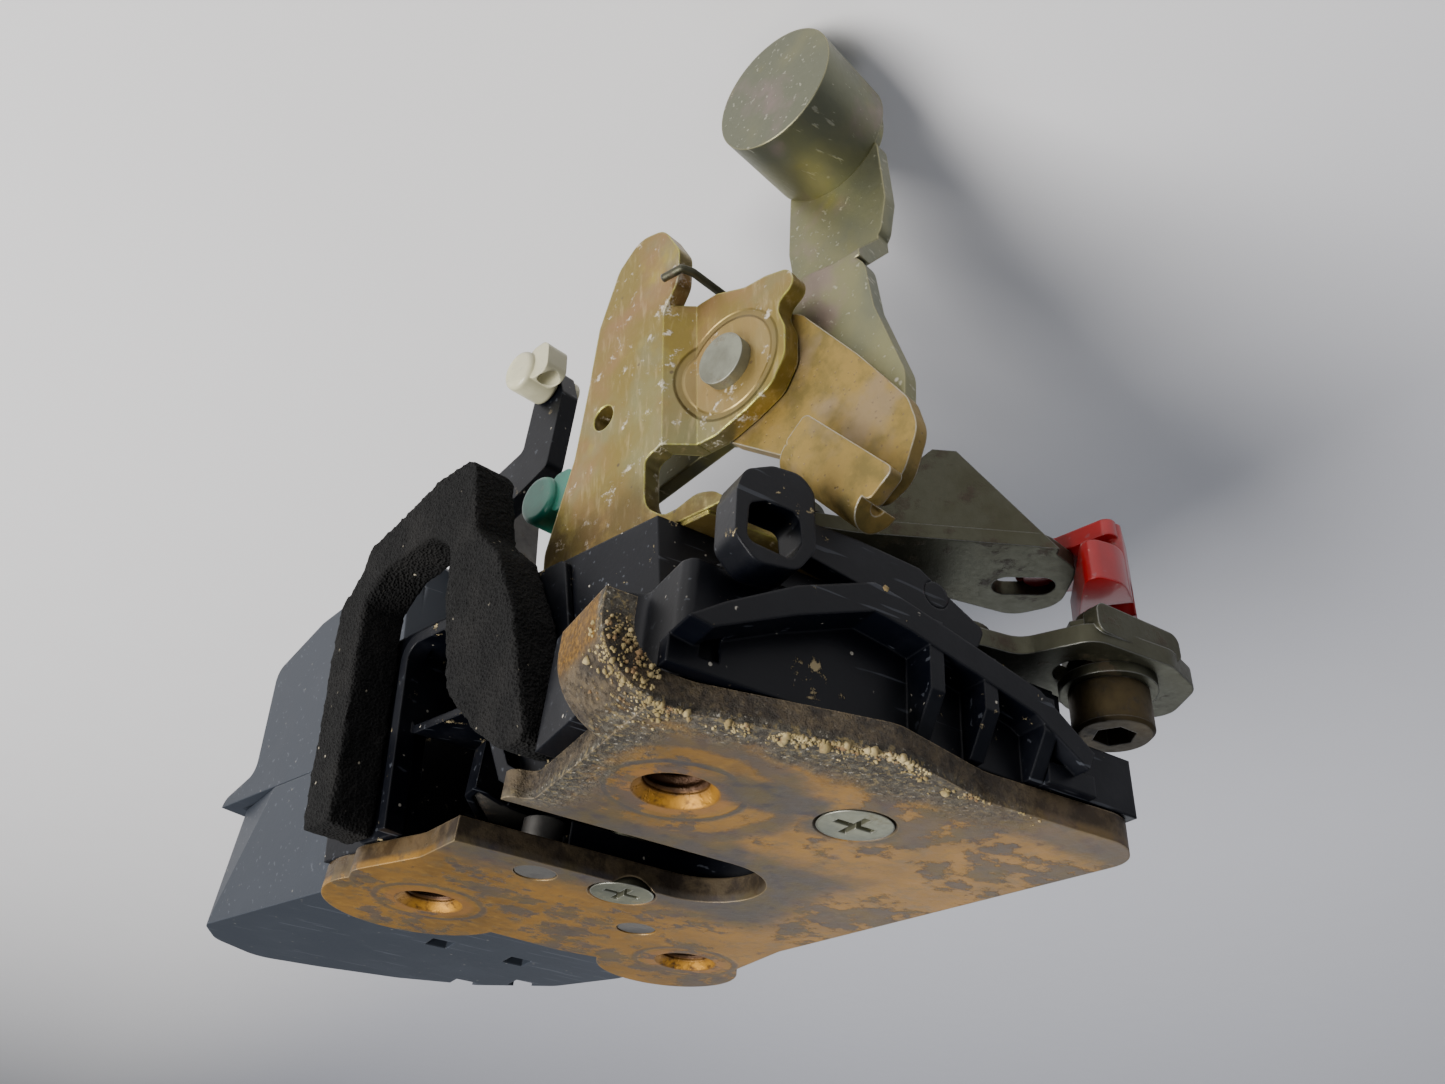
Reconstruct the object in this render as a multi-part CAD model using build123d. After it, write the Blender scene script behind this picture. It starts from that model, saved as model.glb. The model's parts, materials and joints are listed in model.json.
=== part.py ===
"""Vehicle door latch with a power lock actuator, as an assembly of separate pieces, in millimetres.

Frame: the outer face of the face plate is Z = 0 and +Z is its outward normal. +X runs along the
striker slot to its open mouth. The origin is the axis of the latched striker.
The levers lie in planes that face the mouth side of the latch, called the lever side. A point there
has an across coordinate (towards -Y), a height (away from the face plate) and a level (outwards).
"""
from build123d import *
from math import cos, hypot, pi, radians, sin, tan
import os

# ---- driving dimensions -----------------------------------------------------------------------
PLATE_T = 3.0             # face plate sheet
SHEET_T = 2.5             # lever bracket sheet
LEVER_T = 2.0             # release lever sheet
SLOT_R = 7.6              # half the striker slot's width
HOLE_R = 3.35             # wall of the three threaded holes (M8 thread's minor radius)
HOLE_MOUTH_R = 3.9        # flared mouth of a threaded hole
COLLAR_R = 5.4            # drawn collar round a threaded hole
COLLAR_L = 4.0
HOLES = [(14.3, -21.1), (22.5, 32.4), (-15.0, 32.1)]
SCREW_SPOTS = [(-3.6, -25.5), (4.9, 10.9)]   # countersunk cross-head screws
SCREW_HEAD_R = 3.9
HOUSING_DEPTH = 30.5      # back of the upper housing block
STEP_DEPTH = 16.0         # back of the low part of the housing
WALL = 2.4
SHELF_T = 1.2
FORK_AT = (-2.8, 22.8)    # fork pivot
FORK_TOP, FORK_T = -9.0, 5.5
FORK_REACH = hypot(*FORK_AT)      # pivot to striker axis
FORK_TRAVEL = 50.0        # degrees from open to latched
STRIKER_R = 5.5           # throat of the fork
PAWL_AT = (-3.6, -25.5)
PAWL_TRAVEL = 20.0
PIVOT_R = 4.0
RUN_FIT = 0.06            # radial clearance of a running fit
LEVER_AZIMUTH = 19.0      # the lever side's normal, turned from +X towards -Y
LEVER_RISE = 8.5          # and raised towards +Z
RIVET_AT = (19.8, 55.0)   # lever rivet, across and height
WING_LEVEL, EAR_LEVEL = 19.0, 16.0
RELEASE_LEVEL, ARM_LEVEL = 13.2, 10.9
WEIGHT_AT, WEIGHT_R, WEIGHT_L = (30.2, 93.6), 9.0, 12.0
WEIGHT_BASE = 6.0         # level on which the counterweight sits
SHELL_LEVEL = 21.5        # housing's lever side
FOAM_BACK, FOAM_FRONT = 22.6, 29.0
COVER_Y = -36.7           # outer face of the housing's -Y side, where the ribbed cover sits
CASE_TOP, CASE_SPLIT = -3.2, -22.0
CASE_WALL, LID_T = 2.2, 3.0
CASE_START = 37.4         # where the actuator meets the housing
CASE_LEVEL, CASE_DEPTH = 14.4, 30.0          # actuator's lever side, and how far it reaches inwards
CASE_SCREWS = [(12.0, 85.5), (-11.0, 66.5), (-13.2, 51.5)]
CASE_SCREW_R = 1.4
GEAR_MODULE = 1.0
PINION_TEETH, GEAR_TEETH = 10, 30
GEAR_AT = (8.5, 62.0)
PINION_AT = (GEAR_AT[0] + GEAR_MODULE * (PINION_TEETH + GEAR_TEETH) / 2, GEAR_AT[1])
RACK_PITCH_Y = GEAR_AT[1] - GEAR_MODULE * GEAR_TEETH / 2
GEAR_TOP, GEAR_T = -9.0, 5.0
POST_AT = (16.0, 11.4)    # post staked in the face plate
BACK_RIVET_AT = (9.5, -14.0)
CONNECTOR_AT = (1.0, 71.0)
CLIP_AT = (-12.2, 48.5)   # green clip, across and height
ARM_AT = (-38.0, 59.0)    # output arm's pin
ARM_CLIP_AT = (-21.0, 75.6)
ARM_TOP_LEVEL = 11.0
SLOTTED_AT = (3.0, -21.0)
SLOTTED_TOP = -35.0
RED_AT = (-26.8, -30.7)
LOCK_AT = (-3.6, -20.2)   # lock lever's pivot, X and Z
LOCK_Y = -39.2            # lock lever's outer face
ADJUST_AT = (-13.0, -31.5)
ADJUST_SCREW_AT = (-28.3, -37.6)
ADJUST_TOP = -19.1
GAP = 0.3                 # clearance between faces of different moving pieces

os.makedirs("parts", exist_ok=True)

# ---- the lever side's axes ----------------------------------------------------------------------
_az, _rise = radians(LEVER_AZIMUTH), radians(LEVER_RISE)
OUT = Vector(cos(_rise) * cos(_az), -cos(_rise) * sin(_az), sin(_rise))
ACROSS = Vector(-sin(_az), -cos(_az), 0)
HEIGHT = OUT.cross(ACROSS)
SIDE = Plane(origin=(0, 0, 0), x_dir=ACROSS, z_dir=OUT)
INWARD = OUT * -1
DOWN = Vector(0, 0, -1)


def side_point(across, height, level):
    """A point of the lever side in the part's frame."""
    return ACROSS * across + HEIGHT * height + OUT * level


def corner_arc(before, corner, after, radius):
    """Start, middle and end of the arc that rounds a corner, kept within half of each side."""
    here = Vector(*corner)
    back, ahead = Vector(*before) - here, Vector(*after) - here
    room = 0.45 * min(back.length, ahead.length)
    back, ahead = back.normalized(), ahead.normalized()
    half = radians(back.get_angle(ahead)) / 2
    if half > radians(89.5):
        return here, None, here
    cut = min(radius / tan(half), room)
    radius = cut * tan(half)
    inward = (back + ahead).normalized()
    middle = here + inward * (radius / sin(half) - radius)
    return here + back * cut, middle, here + ahead * cut


def rounded(points, radius):
    """A face whose outline is the closed polygon through points, with rounded corners."""
    count = len(points)
    arcs = [corner_arc(points[i - 1], points[i], points[(i + 1) % count], radius) for i in range(count)]
    edges = []
    for i, (start, middle, end) in enumerate(arcs):
        if middle is not None:
            edges.append(ThreePointArc(start, middle, end))
        edges.append(Line(end, arcs[(i + 1) % count][0]))
    return make_face(edges)


def polygon(points):
    return make_face(Polyline(*points, close=True))


def disc(at, radius):
    return Pos(*at) * Circle(radius)


def slab(face, top, thickness):
    """A plate parallel to the face plate, from z = top downwards."""
    return extrude(Plane.XY.offset(top) * face, amount=thickness, dir=DOWN)


def sheet(face, level, thickness):
    """A plate parallel to the lever side, from its outer level inwards."""
    return extrude(SIDE.offset(level) * face, amount=thickness, dir=INWARD)


def post(at, radius, top, length):
    return slab(disc(at, radius), top, length)


def stud(at, radius, level, length):
    return sheet(disc(at, radius), level, length)


def save(node, *pieces):
    """Write one node's solids to its own file."""
    solids = [solid for piece in pieces for solid in piece.solids()]
    export_step(solids[0] if len(solids) == 1 else Compound(children=solids), f"parts/{node}.step")
    print(node, len(solids), "solids")


def behind(level):
    """The half space inside the given level of the lever side."""
    return sheet(Rectangle(400, 400), level, 200)


def screw_recess(at, top, reach, depth):
    """Cross recess of a countersunk screw."""
    bar = Rectangle(2 * reach, 0.9)
    cross = Pos(*at) * bar + Pos(*at) * Rot(0, 0, 90) * bar
    return slab(cross, top, depth)


# ---- face plate ----------------------------------------------------------------------------------
def face_plate():
    """Flat plate with three lobes, a slot open at the mouth and one edge bent over as a flange."""
    outline = rounded(
        [(27.2, 0.0), (27.2, 8.0), (28.6, 16.0), (34.0, 27.0), (33.0, 34.0), (23.0, 39.0), (12.5, 39.2),
         (0.8, 40.4), (-8.0, 39.0), (-15.0, 41.0), (-22.3, 34.0), (-21.7, 17.7), (-30.0, -36.0),
         (-26.4, -39.2), (-9.3, -38.4), (2.9, -41.3), (20.9, -36.7), (24.5, -36.7), (24.5, -9.5),
         (27.2, -9.0)],
        5.0)
    outline += disc((23.2, 36.2), 12.1)
    outline += disc((-14.6, 37.0), 10.2)
    plate = slab(outline, 0, PLATE_T)
    bend_out, bend_in = 7.0, 7.0 - PLATE_T
    flange_x, flange_z = 30.2, -9.2
    profile = make_face([
        *Polyline((20, 0), (flange_x - bend_out, 0)).edges(),
        RadiusArc((flange_x - bend_out, 0), (flange_x, -bend_out), bend_out),
        *Polyline((flange_x, -bend_out), (flange_x, flange_z), (flange_x - PLATE_T, flange_z),
                  (flange_x - PLATE_T, -bend_out)).edges(),
        RadiusArc((flange_x - PLATE_T, -bend_out), (flange_x - bend_out, -PLATE_T), -bend_in),
        *Polyline((flange_x - bend_out, -PLATE_T), (20, -PLATE_T), (20, 0)).edges()])
    plate += extrude(Plane.XZ.offset(27.0) * profile, amount=9.7, dir=(0, -1, 0))
    for at in HOLES:
        plate += post(at, COLLAR_R, -PLATE_T, COLLAR_L)
    for at in HOLES:
        plate -= post(at, HOLE_R, 1, PLATE_T + COLLAR_L + 2)
        plate -= Pos(*at, -0.5) * Cone(HOLE_R, HOLE_MOUTH_R + 0.55, 1.1)
    slot = disc((0, 0), SLOT_R) + Pos(30, 0) * Rectangle(60, 2 * SLOT_R)
    plate -= slab(slot, 1, PLATE_T + 2)
    for at in SCREW_SPOTS:
        plate -= post(at, 2.6, 1, PLATE_T + 2)
        plate -= Pos(*at, -1.1) * Cone(2.5, SCREW_HEAD_R + 0.4, 2.3)
    for at in (FORK_AT, POST_AT):
        plate -= post(at, 2.6, 1, PLATE_T + 2)
    return plate


def plate_screw(at):
    """Countersunk cross-head screw."""
    head = Pos(*at, -1.15) * Cone(2.2, SCREW_HEAD_R, 2.3)
    shank = post(at, 2.4, -1.5, 6.8)
    screw = head + shank
    screw -= screw_recess(at, 1, 2.3, 2.0)
    return screw


# ---- housing -------------------------------------------------------------------------------------
LOW_OUTLINE = [(22.6, -34.8), (22.6, -27.4), (26.6, -26.0), (26.6, -6.0), (34, 8),
               (40, CASE_START - 0.9), (-20.0, CASE_START - 0.9),
               (-20.2, 18.0), (-27.6, -33.0), (-25.0, -36.3), (0.0, -36.5), (22.0, -36.0)]
HIGH_OUTLINE = [(34, -21.5), (40, CASE_START - 0.9), (-20.0, CASE_START - 0.9), (-20.2, 18.0),
                (-23.5, -12.0), (-22.0, -21.5)]


def side_keep(level):
    """Everything inside a level of the lever side, or on the far side of the slot."""
    return behind(level) + Pos(0, -114, 0) * Box(200, 200, 200)


def latch_housing():
    """Black shell that carries the fork and the pawl: a low part and a higher block."""
    low = slab(rounded(LOW_OUTLINE, 1.5), -PLATE_T, STEP_DEPTH - PLATE_T) & side_keep(SHELL_LEVEL)
    high = slab(rounded(HIGH_OUTLINE, 1.5), -STEP_DEPTH, HOUSING_DEPTH - STEP_DEPTH) & behind(SHELL_LEVEL)
    low_room = offset(rounded(LOW_OUTLINE, 1.5), -WALL)
    high_room = offset(rounded(HIGH_OUTLINE, 1.5), -WALL)
    inner = SHELL_LEVEL - WALL
    shell = low + high
    shell -= slab(low_room, -PLATE_T - 3, STEP_DEPTH - PLATE_T - 3 - WALL) & side_keep(inner)
    shell -= slab(high_room, -STEP_DEPTH + WALL + 0.1, 40) & behind(inner)
    slot = disc((-0.4, 0), SLOT_R + 0.5) + Pos(30, 0) * Rectangle(60, 2 * SLOT_R + 1)
    shell -= slab(slot, 0, STEP_DEPTH + 1)
    shell -= sheet(rounded([(-30, 4), (-30, 31.8), (-2, 31.8), (-2, 4)], 2), 30, 20.3)
    shell -= sheet(rounded([(-16, -2), (-16, 14), (-2, 14), (-2, -2)], 2), 30, 18)
    for at in HOLES:
        shell -= post(at, COLLAR_R + 0.6, 0, COLLAR_L + PLATE_T + 0.8)
    for at in SCREW_SPOTS:
        shell -= post(at, 2.4, 0, 7.0)
    for at in (FORK_AT, POST_AT):
        shell -= post(at, PIVOT_R, 0, 8)
    shell += post(BACK_RIVET_AT, 4.6, 1 - STEP_DEPTH, HOUSING_DEPTH - STEP_DEPTH + 1)
    shell -= post(BACK_RIVET_AT, 2.4, -HOUSING_DEPTH + 8, 20)
    return shell - post(ADJUST_SCREW_AT, 6.4, -12.0, 10)


def side_cover():
    """Ribbed cover on the -Y side, with a rim along its top, ribs and an end block."""
    face = [(24.6, -3.2), (24.6, -5.8), (21.3, -8.3), (14.5, -12.6), (6.0, -16.4), (1.8, -15.6),
            (-6.5, -13.5),
            (-13.8, -11.6), (-20.2, -6.8), (-24.5, -6.2), (-24.5, -3.2)]
    rim_in = [(22.2, -5.4), (14.2, -9.6), (5.9, -13.2), (1.8, -12.6), (-6.2, -10.6), (-13.0, -8.8),
              (-19.2, -4.8)]
    outer = Plane.XZ.offset(-COVER_Y)
    cover = extrude(outer * polygon(face), amount=1.6, dir=(0, -1, 0))
    cover += extrude(outer * polygon(face[1:-2] + rim_in[::-1]), amount=5.3, dir=(0, -1, 0))
    for x, top in ((-0.4, -15.0), (-6.8, -13.2), (-14.0, -11.2)):
        rib = polygon([(COVER_Y, top), (COVER_Y - 5.2, top), (COVER_Y - 5.2, -7.4),
                       (COVER_Y - 2.6, -3.3), (COVER_Y, -3.3)])
        cover += extrude(Plane.YZ.offset(x) * rib, amount=1.6, dir=(-1, 0, 0))
    cover += Pos(-25.0, COVER_Y - 1.0, -6.4) * Box(6.6, 2.6, 6.2)
    cover += Pos(-18.8, COVER_Y - 1.6, -4.4) * Box(6.0, 3.6, 2.2)
    cover -= Pos(20.6, COVER_Y - 1.6, -6.0) * Box(2.0, 1.6, 2.8)
    return cover


def lever_shelf():
    """Thin plate on the housing's low part that the lock and adjuster levers are pinned to."""
    shelf = slab(rounded([(-24, -35.2), (-24, -23.0), (19, -23.0), (19, -35.2)], 1), -STEP_DEPTH, SHELF_T)
    return shelf - post(ADJUST_SCREW_AT, 6.4, -12.0, 10)


def mouth_liner():
    """Frame round the mouth on the lever side, with a raised lip and a well for the deep pocket."""
    frame = rounded([(-38.6, 8.0), (-38.6, 33.5), (-0.6, 33.5), (2.0, 16), (2.4, 9.6), (-1.0, 3.8),
                     (-30.5, 3.8)], 1.0)
    opening = rounded([(-28.6, -6), (-28.6, 30.4), (-13.0, 30.4), (-11.2, 16), (-8.4, 9.4),
                       (-2.4, 5.4), (-2.4, -6)], 2.0)
    left = polygon([(-40, 0), (-40, 36), (-16, 36), (-16, 0)])
    liner = sheet(frame - opening, 22.4, 0.8)
    liner += sheet((offset(opening, 1.5) - opening) & left, 24.2, 2.6)
    liner += sheet(polygon([(-9.6, 13.2), (-7.2, 8.1), (-1.8, 5.2), (-1.2, 6.9), (-5.9, 9.6),
                            (-8.0, 13.8)]), 24.2, 2.6)
    well = rounded([(-29.6, 19.0), (-29.6, 31.4), (-12.0, 31.4), (-12.0, 19.0)], 2.0)
    liner += sheet(well, 22.3, 12.3) - sheet(offset(well, -1.0), 23, 11.6)
    return liner & Pos(0, 0, -GAP - PLATE_T - 100) * Box(400, 400, 200)


def foam_seal():
    """Foam block, an arch round the mouth whose right leg is cut to the housing."""
    outer = [(-39.6, 9.0), (-39.6, 38.3), (-35.4, 41.5), (-33.8, 45.2), (-27.0, 46.8), (-19.0, 49.6),
             (-11.2, 50.0), (-9.6, 38.5), (-5.0, 34.0), (-1.0, 25.0), (1.0, 16.0), (3.0, 9.2)]
    inner = [(-1.6, 9.0), (-6.6, 12.3), (-12.3, 18.5), (-14.6, 30.0), (-14.8, 38.0), (-19.0, 41.0),
             (-29.0, 40.0), (-33.0, 36.5), (-33.2, 9.0), (-34.6, 3.6), (-37.6, 3.6)]
    foam = sheet(rounded(outer + inner, 2.4), FOAM_FRONT, FOAM_FRONT - FOAM_BACK)
    return foam & Pos(0, 0, -GAP - PLATE_T - 100) * Box(400, 400, 200)


# ---- lever bracket -------------------------------------------------------------------------------
def lever_bracket():
    """Back plate whose edge is bent up into a wing, with a stepped ear that carries the rivet."""
    wing = rounded(
        [(-8.8, 34.0), (-8.8, 38.5), (-4.1, 50.6), (-2.2, 60.1), (-0.5, 70.1), (3.0, 78.4),
         (7.0, 81.6), (11.6, 80.4),
         (14.4, 75.0), (14.2, 70.0), (11.6, 66.0), (11.6, 45.6), (8.8, 45.2), (8.9, 38.2),
         (12.5, 35.4), (17.2, 36.6),
         (19.8, 35.8), (21.8, 34.0)], 3.5)
    wing -= disc((1.1, 54.7), 1.8)
    bracket = sheet(wing, WING_LEVEL, SHEET_T)
    ear = rounded(
        [(13.2, 45.8), (13.2, 67.2), (18.0, 67.2), (22.6, 65.4), (26.0, 65.2), (29.6, 64.2),
         (30.2, 61.6), (27.2, 59.8),
         (28.4, 56.0), (28.2, 52.0), (26.0, 48.8), (22.2, 47.2), (17.5, 45.8)], 3.0)
    bracket += sheet(ear - disc(RIVET_AT, 3.0), EAR_LEVEL, SHEET_T)
    step = polygon([(11.0, WING_LEVEL - SHEET_T), (11.0, WING_LEVEL), (11.6, WING_LEVEL),
                    (14.6, EAR_LEVEL),
                    (14.6, EAR_LEVEL - SHEET_T), (13.6, EAR_LEVEL - SHEET_T)])
    cross = Plane(origin=side_point(0, 45.8, 0), x_dir=ACROSS, z_dir=HEIGHT * -1)
    bracket += extrude(cross * step, amount=21.4, dir=HEIGHT)
    foot = rounded([(34, -24.5), (34, 9.0), (15.0, 30.0), (-14.0, 30.0), (-17.0, -12.0),
                    (-4.0, -22.5), (8.0, -25.5)], 2)
    back = slab(foot, -HOUSING_DEPTH, SHEET_T) & behind(WING_LEVEL - 0.4)
    back -= post(FORK_AT, 2.4, 0, 60)
    back -= post(BACK_RIVET_AT, 2.4, 0, 60)
    return bracket + back


def lever_rivet():
    """Shouldered rivet that carries the levers."""
    head = stud(RIVET_AT, 3.4, EAR_LEVEL + 1.6, 1.6)
    shank = stud(RIVET_AT, 3.0, EAR_LEVEL + 0.5, EAR_LEVEL - 3.0)
    return head + shank + stud(RIVET_AT, 4.6, 4.6, 1.4)


# ---- levers on the rivet -----------------------------------------------------------------------------
def release_lever():
    """Sheet lever whose lower edge is folded back over its face as a striking tab."""
    body = rounded(
        [(28.6, 59.6), (36.2, 49.1), (41.6, 40.6), (42.4, 36.6), (40.0, 31.6), (36.2, 29.8), (27.6, 39.0),
         (17.0, 46.5), (13.0, 54.0), (15.0, 60.5), (20.0, 63.0)], 4.0)
    body += disc(RIVET_AT, 8.2)
    lever = sheet(body - disc(RIVET_AT, 3.0 + RUN_FIT), RELEASE_LEVEL, LEVER_T)
    tab = rounded([(31.4, 41.4), (41.4, 30.0), (38.2, 27.6), (28.3, 38.9)], 0.8)
    lever += sheet(tab, RELEASE_LEVEL + 4.0, LEVER_T)
    along = (ACROSS * 9.9 + HEIGHT * -11.3).normalized()
    start = side_point(28.5, 38.7, RELEASE_LEVEL + 1.0)
    fold_plane = Plane(origin=start, x_dir=OUT, z_dir=along)
    ring = Circle(3.0) - Circle(1.0)
    half_ring = ring & (Pos(0, 3.0) * Rectangle(6.0, 6.0))
    return lever + extrude(fold_plane * half_ring, amount=13.6, dir=along)


def counterweight_lever():
    """Lever with a joggled arm up to the counterweight and a short arm to the rod clip."""
    low = rounded(
        [(12.5, 50.0), (11.0, 60.0), (16.5, 67.5), (23.6, 68.0), (36.6, 66.0), (37.4, 57.0),
         (40.4, 46.0), (39.6, 39.5),
         (33.0, 38.0), (28.0, 45.5), (20.0, 46.5)], 4.0)
    tail = rounded([(18.0, 58.0), (-9.6, 53.4), (-16.0, 50.4), (-15.8, 45.6), (-10.6, 44.0),
                    (18.0, 50.0)], 1.6)
    lever = sheet(low + tail - disc(RIVET_AT, 3.0 + RUN_FIT) - disc(CLIP_AT, 1.9), ARM_LEVEL, 2.2)
    high = rounded([(23.0, 71.5), (22.4, 78.0), (23.4, 90.0), (37.6, 90.0), (37.9, 78.0),
                    (36.4, 71.5)], 3.0)
    high += disc(WEIGHT_AT, 7.6)
    lever += sheet(high, WEIGHT_BASE, 2.2)
    joggle = polygon([(65.6, ARM_LEVEL), (65.6, ARM_LEVEL - 2.2), (71.0, WEIGHT_BASE - 2.2),
                      (72.6, WEIGHT_BASE - 2.2),
                      (72.6, WEIGHT_BASE), (71.8, WEIGHT_BASE), (66.6, ARM_LEVEL)])
    cross = Plane(origin=side_point(23.4, 0, 0), x_dir=HEIGHT, z_dir=ACROSS)
    lever += extrude(cross * joggle, amount=12.8, dir=ACROSS)
    return lever - stud(WEIGHT_AT, 2.5, WEIGHT_BASE + 5, 20)


def counterweight():
    weight = stud(WEIGHT_AT, WEIGHT_R, WEIGHT_BASE + WEIGHT_L, WEIGHT_L)
    return weight - stud(WEIGHT_AT, 2.5, WEIGHT_BASE + 6.0, 10)


def weight_rivet():
    shank = stud(WEIGHT_AT, 2.5, WEIGHT_BASE + 5.5, 7.7)
    return shank + stud(WEIGHT_AT, 4.0, WEIGHT_BASE - 2.2, 1.2)


def rod_clip(at, level, lever_t, length, body_r):
    """Moulded rod clip: a barrel that turns in its lever and a side loop for the rod."""
    barrel = fillet(stud(at, body_r, level + length, length).edges(), 0.8)
    barrel += stud(at, 1.8, level + 0.2, lever_t + 0.8)
    barrel += stud(at, 2.6, level - lever_t - 0.4, 0.8)
    loop_at = (at[0] + body_r + 0.8, at[1])
    barrel += sheet(Pos(*loop_at) * RectangleRounded(4.4, 5.6, 1.6), level + length - 0.8, length - 2.4)
    rod_hole = Plane(origin=side_point(loop_at[0] + 0.3, loop_at[1], level + length / 2 + 0.4), z_dir=HEIGHT)
    return barrel - extrude(rod_hole * Circle(1.6), amount=8, both=True)


def lever_spring():
    """Coils of the torsion spring on the rivet's tail."""
    return [sheet(disc(RIVET_AT, 5.0) - disc(RIVET_AT, 3.6), level, 1.2) for level in (8.2, 6.6)]


# ---- levers behind the face plate ---------------------------------------------------------------------
def slotted_lever():
    """Link lever with an oblong hole and a triangular web along one edge."""
    flat = rounded(
        [(-2.2, -26.6), (-22.0, -37.3), (-28.0, -36.0), (-31.6, -29.0), (-28.6, -23.8), (-14.0, -21.0),
         (0.0, -16.0), (6.5, -17.0), (7.5, -23.0)], 4.0)
    hole = Pos(-25.2, -29.6) * Rot(0, 0, 35) * SlotOverall(7.6, 3.8)
    flat = flat - hole - disc(SLOTTED_AT, 2.5 + RUN_FIT)
    lever = slab(flat, SLOTTED_TOP, LEVER_T)
    along = Vector(-19.8, -10.8, 0).normalized()
    web_plane = Plane(origin=(-2.2, -26.4, SLOTTED_TOP), x_dir=along, z_dir=Vector(along.Y, -along.X, 0))
    web = polygon([(-3.0, 0), (24.0, 0), (12.6, -13.8), (9.6, -13.8)])
    return lever + extrude(web_plane * web, amount=LEVER_T)


def slotted_pin():
    """Shouldered pin on the back plate that carries the slotted lever."""
    back = -HOUSING_DEPTH - SHEET_T
    pin = post(SLOTTED_AT, 4.0, back, back - SLOTTED_TOP - GAP)
    pin += post(SLOTTED_AT, 2.5, back, back - SLOTTED_TOP + LEVER_T + 1.2)
    return pin + post(SLOTTED_AT, 4.0, SLOTTED_TOP - LEVER_T - GAP, 1.2)


def lock_lever():
    """Black lever with a D-shaped eye for the lock rod, on an arm that lies over the cover."""
    eye = rounded([(20.6, -16.4), (20.8, -21.6), (20.2, -24.0), (17.2, -25.8), (14.0, -26.2),
                   (12.4, -24.6),
                   (12.0, -18.0), (13.8, -15.0), (18.2, -14.2)], 2.0)
    eye -= rounded([(19.4, -16.2), (19.4, -20.4), (17.6, -21.4), (14.0, -21.4), (13.5, -18.2),
                    (14.6, -15.9)], 1.0)
    lever = extrude(Plane.XZ.offset(-LOCK_Y - 2.2) * eye, amount=4.0, dir=(0, -1, 0))
    arm = rounded([(13.0, -22.6), (13.0, -18.8), (5.0, -17.6), (-1.0, -17.2), (-8.6, -15.6),
                   (-9.6, -18.2), (-5.0, -20.6),
                   (-1.6, -22.6), (6.0, -22.9)], 0.8)
    front = Plane.XZ.offset(-LOCK_Y - 2.2)
    lever += extrude(front * arm, amount=2.2, dir=(0, -1, 0))
    return lever - extrude(front * (Pos(*LOCK_AT) * Circle(1.5 + RUN_FIT)), amount=8.0, both=True)


def lock_pin():
    """Pin and upright post that carry the lock lever."""
    foot, seat = Plane.XZ.offset(33.6), Plane.XZ.offset(34.0)
    pin = extrude(foot * (Pos(*LOCK_AT) * Circle(1.5)), amount=-LOCK_Y - 33.6, dir=(0, -1, 0))
    collar = extrude(seat * (Pos(*LOCK_AT) * Circle(2.4)), amount=2.7, dir=(0, -1, 0))
    shelf_z = -STEP_DEPTH - SHELF_T
    return pin + collar + Pos(LOCK_AT[0], -33.6, shelf_z - 3.3) * Box(5.0, 3.0, 6.6)


def adjuster_lever():
    """Zinc lever whose end carries an oblong hole for the adjusting screw and a rolled lip."""
    flat = rounded([(-10.0, -28.0), (-16.0, -27.4), (-22.0, -31.6), (-34.6, -31.0), (-39.0, -36.6),
                    (-36.4, -42.6),
                    (-31.0, -44.4), (-20.6, -43.6), (-17.0, -36.6), (-10.2, -35.4)], 3.0)
    slot = Pos(-26.2, ADJUST_SCREW_AT[1]) * SlotOverall(9.6, 5.3)
    lever = slab(flat - slot - disc(ADJUST_AT, 2.0 + RUN_FIT), ADJUST_TOP, 2.2)
    lip = Pos(-27.0, -43.0, ADJUST_TOP - 3.0) * Box(12.0, 2.0, 3.6)
    return lever + fillet(lip.edges().filter_by(Axis.Y), 1.2)


def adjuster_pin():
    """Shouldered pin on the cover's shelf that carries the adjuster lever."""
    base = -STEP_DEPTH - SHELF_T
    pin = post(ADJUST_AT, 3.2, base, base - ADJUST_TOP - GAP)
    pin += post(ADJUST_AT, 2.0, base, base - ADJUST_TOP + 3.5)
    return pin + post(ADJUST_AT, 3.4, ADJUST_TOP - 2.2 - GAP, 1.0)


def adjuster_washer():
    return post(ADJUST_SCREW_AT, 5.2, ADJUST_TOP + 1.25, 1.2) - post(ADJUST_SCREW_AT, 2.7, 0, 60)


def adjuster_screw():
    """M5 socket head cap screw."""
    head_top = ADJUST_TOP + 1.3 + 5.0
    head = post(ADJUST_SCREW_AT, 4.25, head_top, 5.0)
    head = chamfer(head.edges().filter_by(GeomType.CIRCLE).sort_by(Axis.Z)[-1], 0.4)
    socket = slab(Pos(*ADJUST_SCREW_AT) * RegularPolygon(2.31, 6), head_top + 1, 3.6)
    shank = post(ADJUST_SCREW_AT, 2.5, head_top - 4.5, 10.0)
    return head + shank - socket


def adjuster_nut():
    nut = slab(Pos(*ADJUST_SCREW_AT) * RegularPolygon(4.62, 6), ADJUST_TOP - 2.3, 4.0)
    return nut - post(ADJUST_SCREW_AT, 2.5, 0, 60)


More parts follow.
